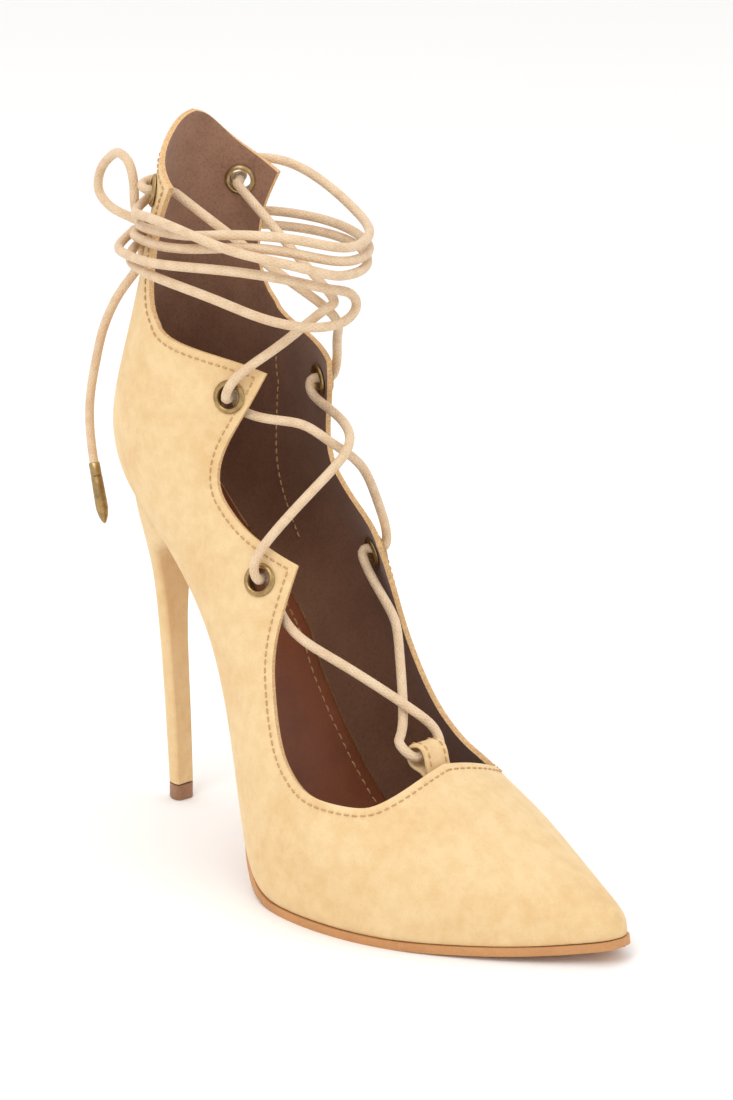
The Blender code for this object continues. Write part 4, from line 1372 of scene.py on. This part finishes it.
class HEEL_OT_eyelets(bpy.types.Operator):
    """Six turned brass eyelets"""
    bl_idname = "heel.eyelets"
    bl_label = "Eyelets"

    def execute(self, context):
        brass = brass_finish()
        for name, placing in eyelet_places():
            form = bmesh.new()
            rings = []
            for k in range(EYELET_STEPS):
                angle = 2 * pi * k / EYELET_STEPS
                rings.append([form.verts.new(placing @ Vector((r * cos(angle), r * sin(angle), h)))
                              for r, h in EYELET_PROFILE])
            count = len(EYELET_PROFILE)
            for k in range(EYELET_STEPS):
                first, second = rings[k], rings[(k + 1) % EYELET_STEPS]
                for i in range(count):
                    j = (i + 1) % count
                    form.faces.new((first[i], second[i], second[j], first[j]))
            add_piece(f"brass_{name}", mesh_from(name, form, outward=True), [brass], "brass", [name])
        return {"FINISHED"}


class HEEL_OT_straps(bpy.types.Operator):
    """Loop at the back and tab at the throat, both folded suede"""
    bl_idname = "heel.straps"
    bl_label = "Back loop and throat tab"

    def execute(self, context):
        rows = []
        for station, distance in read_curve(KEEPER, LOOP_FINE):
            point, outward, _ = last_frame(station, 0.0)
            rows.append(strap_row(point + outward * max(distance, LOOP_LEAST), LOOP_HALF))
        self.add_strap("back_loop", rows, LOOP_THICKNESS, -1)
        strap_stitches("loop", rows, last_frame(KEEPER[0][0], 0.0)[1], 0.0)
        point, outward, along = last_frame(VAMP_LINE[0][0], 1.0)
        rows = [strap_row(point + along * behind + outward * height, TAB_HALF)
                for behind, height in read_curve(TAB, TAB_FINE)]
        self.add_strap("throat_tab", rows, TAB_THICKNESS, 0)
        strap_stitches("tab", rows, outward, TAB_THICKNESS / 2)
        return {"FINISHED"}

    def add_strap(self, node, rows, thickness, offset):
        """Suede strap through rows of points."""
        name = f"suede_{node}"
        strap = add_piece(name, mesh_from_grid(name, rows), [suede_finish()], "suede", [node])
        thicken(strap, thickness, offset)
        soften(strap, 0.0003)


def strap_row(middle, half):
    """Points across a strap."""
    return [middle + Vector((0.0, y * half, 0.0)) for y in ACROSS]


def strap_stitches(name, rows, outward, lift):
    """A stitch row along each edge of a folded strap, on the face that looks outward."""
    for side, edge in ((-1, "outer"), (1, "inner")):
        line, outs = [], []
        for i, row in enumerate(rows):
            ahead = rows[min(i + 1, len(rows) - 1)][0] - rows[max(i - 1, 0)][0]
            up = ahead.cross(row[-1] - row[0]).normalized()
            line.append((row[0] + row[-1]) / 2)
            outs.append(up)
        if sum(up.dot(outward) for up in outs) < 0:
            outs = [-up for up in outs]
        line = [point + Vector((0.0, side * STRAP_STITCHES, 0.0)) + up * lift
                for point, up in zip(line, outs)]
        stitches(f"{name}_stitches_{edge}", line, outs)


def lace_line(places):
    """Even points along the smooth curve through a lace's places."""
    fine = [Vector(place) for place in read_curve(places)]
    return [between(fine, spot) for spot in evenly(fine, round(run_length(fine) / CORD_STEP) + 1)]


def lace_tube(name, points, radius=CORD / 2, sides=CORD_SIDES):
    """Round cord along points, with its length and girth as its UV map so that the braid follows it."""
    form = bmesh.new()
    uv = form.loops.layers.uv.new("UVMap")
    ahead = [(b - a).normalized() for a, b in zip([points[0]] + points, points[1:] + [points[-1]])]
    side = ahead[0].orthogonal().normalized()
    rings = []
    reach = [0.0]
    for i, (point, forward) in enumerate(zip(points, ahead)):
        side = (side - forward * side.dot(forward)).normalized()
        up = forward.cross(side)
        girth = radius * (CORD_END if i in (0, len(points) - 1) else 1.0)
        rings.append([form.verts.new(place) for place in ring_round(point, side, up, girth, sides)])
        if i:
            reach.append(reach[-1] + (point - points[i - 1]).length)
    for i in range(len(rings) - 1):
        for k in range(sides):
            j = (k + 1) % sides
            face = form.faces.new((rings[i][k], rings[i][j], rings[i + 1][j], rings[i + 1][k]))
            for loop, (u, v) in zip(face.loops, ((k, i), (k + 1, i), (k + 1, i + 1), (k, i + 1))):
                loop[uv].uv = (u / sides, reach[v])
    form.faces.new(list(reversed(rings[0])))
    form.faces.new(rings[-1])
    return mesh_from(name, form)


def run_length(points):
    """Length along a run of points."""
    return sum((b - a).length for a, b in zip(points, points[1:]))


def row_frame(point):
    return tuple(Vector(point) - ORIGIN)


def turned(name, profile, foot, axis):
    """Round solid along an axis, from rows of distance and radius."""
    side = axis.orthogonal().normalized()
    up = axis.cross(side)
    return loft(name, [ring_round(foot + axis * distance, side, up, radius, TIP_SIDES)
                       for distance, radius in profile])


class HEEL_OT_lace(bpy.types.Operator):
    """Lace with its crossings, turns round the ankle, knot, bow and tipped ends"""
    bl_idname = "heel.lace"
    bl_label = "Lace"

    def execute(self, context):
        cord = cord_finish()
        held = list(reversed(WRAP_OUTER)) + list(LACE_CROSSINGS) + list(WRAP_INNER)
        points = lace_line(held)
        add_piece("lace", lace_tube("lace", points), [cord], "cord",
                  ["lace_crossings", "ankle_wrap_outer", "ankle_wrap_inner"])
        knot = self.add_knot(cord)
        for name, places in (("bow_loop_long", BOW_LONG), ("bow_loop_short", BOW_SHORT)):
            points = lace_line(places)
            loop = add_piece(f"cord_{name}", lace_tube(name, points), [cord], "cord", [name])
            row_frame(points[0])
            run_length(points)
            [row_frame(point) for point in points[::4]]
        for side, places in (("outer", END_OUTER), ("inner", END_INNER)):
            points = lace_line(places)
            ahead = (points[-1] - points[-2]).normalized()
            tip = add_piece(f"brass_tip_{side}", turned(f"brass_tip_{side}", TIP, points[-1], ahead),
                            [brass_finish()], "brass", [f"lace_tip_{side}"])
            end = add_piece(f"cord_end_{side}", lace_tube(f"cord_end_{side}", points), [cord], "cord",
                            [f"lace_end_{side}"])
            row_frame(points[0])
            run_length(points)
            [row_frame(point) for point in points[::4]]
        return {"FINISHED"}

    def add_knot(self, cord):
        """Knot of the bow: the cord's last turns drawn tight."""
        points = []
        for i in range(KNOT_POINTS + 1):
            angle = 2 * pi * i / KNOT_POINTS
            weave = Vector((sin(angle) + 2 * sin(2 * angle), cos(angle) - 2 * cos(2 * angle),
                            -sin(3 * angle) * KNOT_WEAVE))
            points.append(Vector(KNOT_PLACE) + weave * Vector(KNOT_SIZE))
        return add_piece("cord_knot", lace_tube("cord_knot", points), [cord], "cord", ["lace_knot"])


class HEEL_PT_panel(bpy.types.Panel):
    """The shoe's pieces in the sidebar"""
    bl_label = "Lace up heel"
    bl_idname = "HEEL_PT_panel"
    bl_space_type = "VIEW_3D"
    bl_region_type = "UI"
    bl_category = "Heel"

    def draw(self, context):
        layout = self.layout
        for operator in OPERATORS:
            layout.operator(operator.bl_idname)
        for group in (context.scene.heel_sizes, context.scene.heel_colours):
            for name in group.__annotations__:
                layout.prop(group, name)


OPERATORS = (HEEL_OT_stage, HEEL_OT_upper, HEEL_OT_sole, HEEL_OT_heel, HEEL_OT_eyelets, HEEL_OT_straps,
             HEEL_OT_lace)
CLASSES = (HeelSizes, HeelColours) + OPERATORS + (HEEL_PT_panel,)


def register():
    for kind in CLASSES:
        bpy.utils.register_class(kind)
    bpy.types.Scene.heel_sizes = bpy.props.PointerProperty(type=HeelSizes)
    bpy.types.Scene.heel_colours = bpy.props.PointerProperty(type=HeelColours)


def unregister():
    del bpy.types.Scene.heel_colours
    del bpy.types.Scene.heel_sizes
    for kind in reversed(CLASSES):
        bpy.utils.unregister_class(kind)


def main():
    register()
    for operator in OPERATORS:
        group, name = operator.bl_idname.split(".")
        getattr(getattr(bpy.ops, group), name)()


if __name__ == "__main__":
    main()
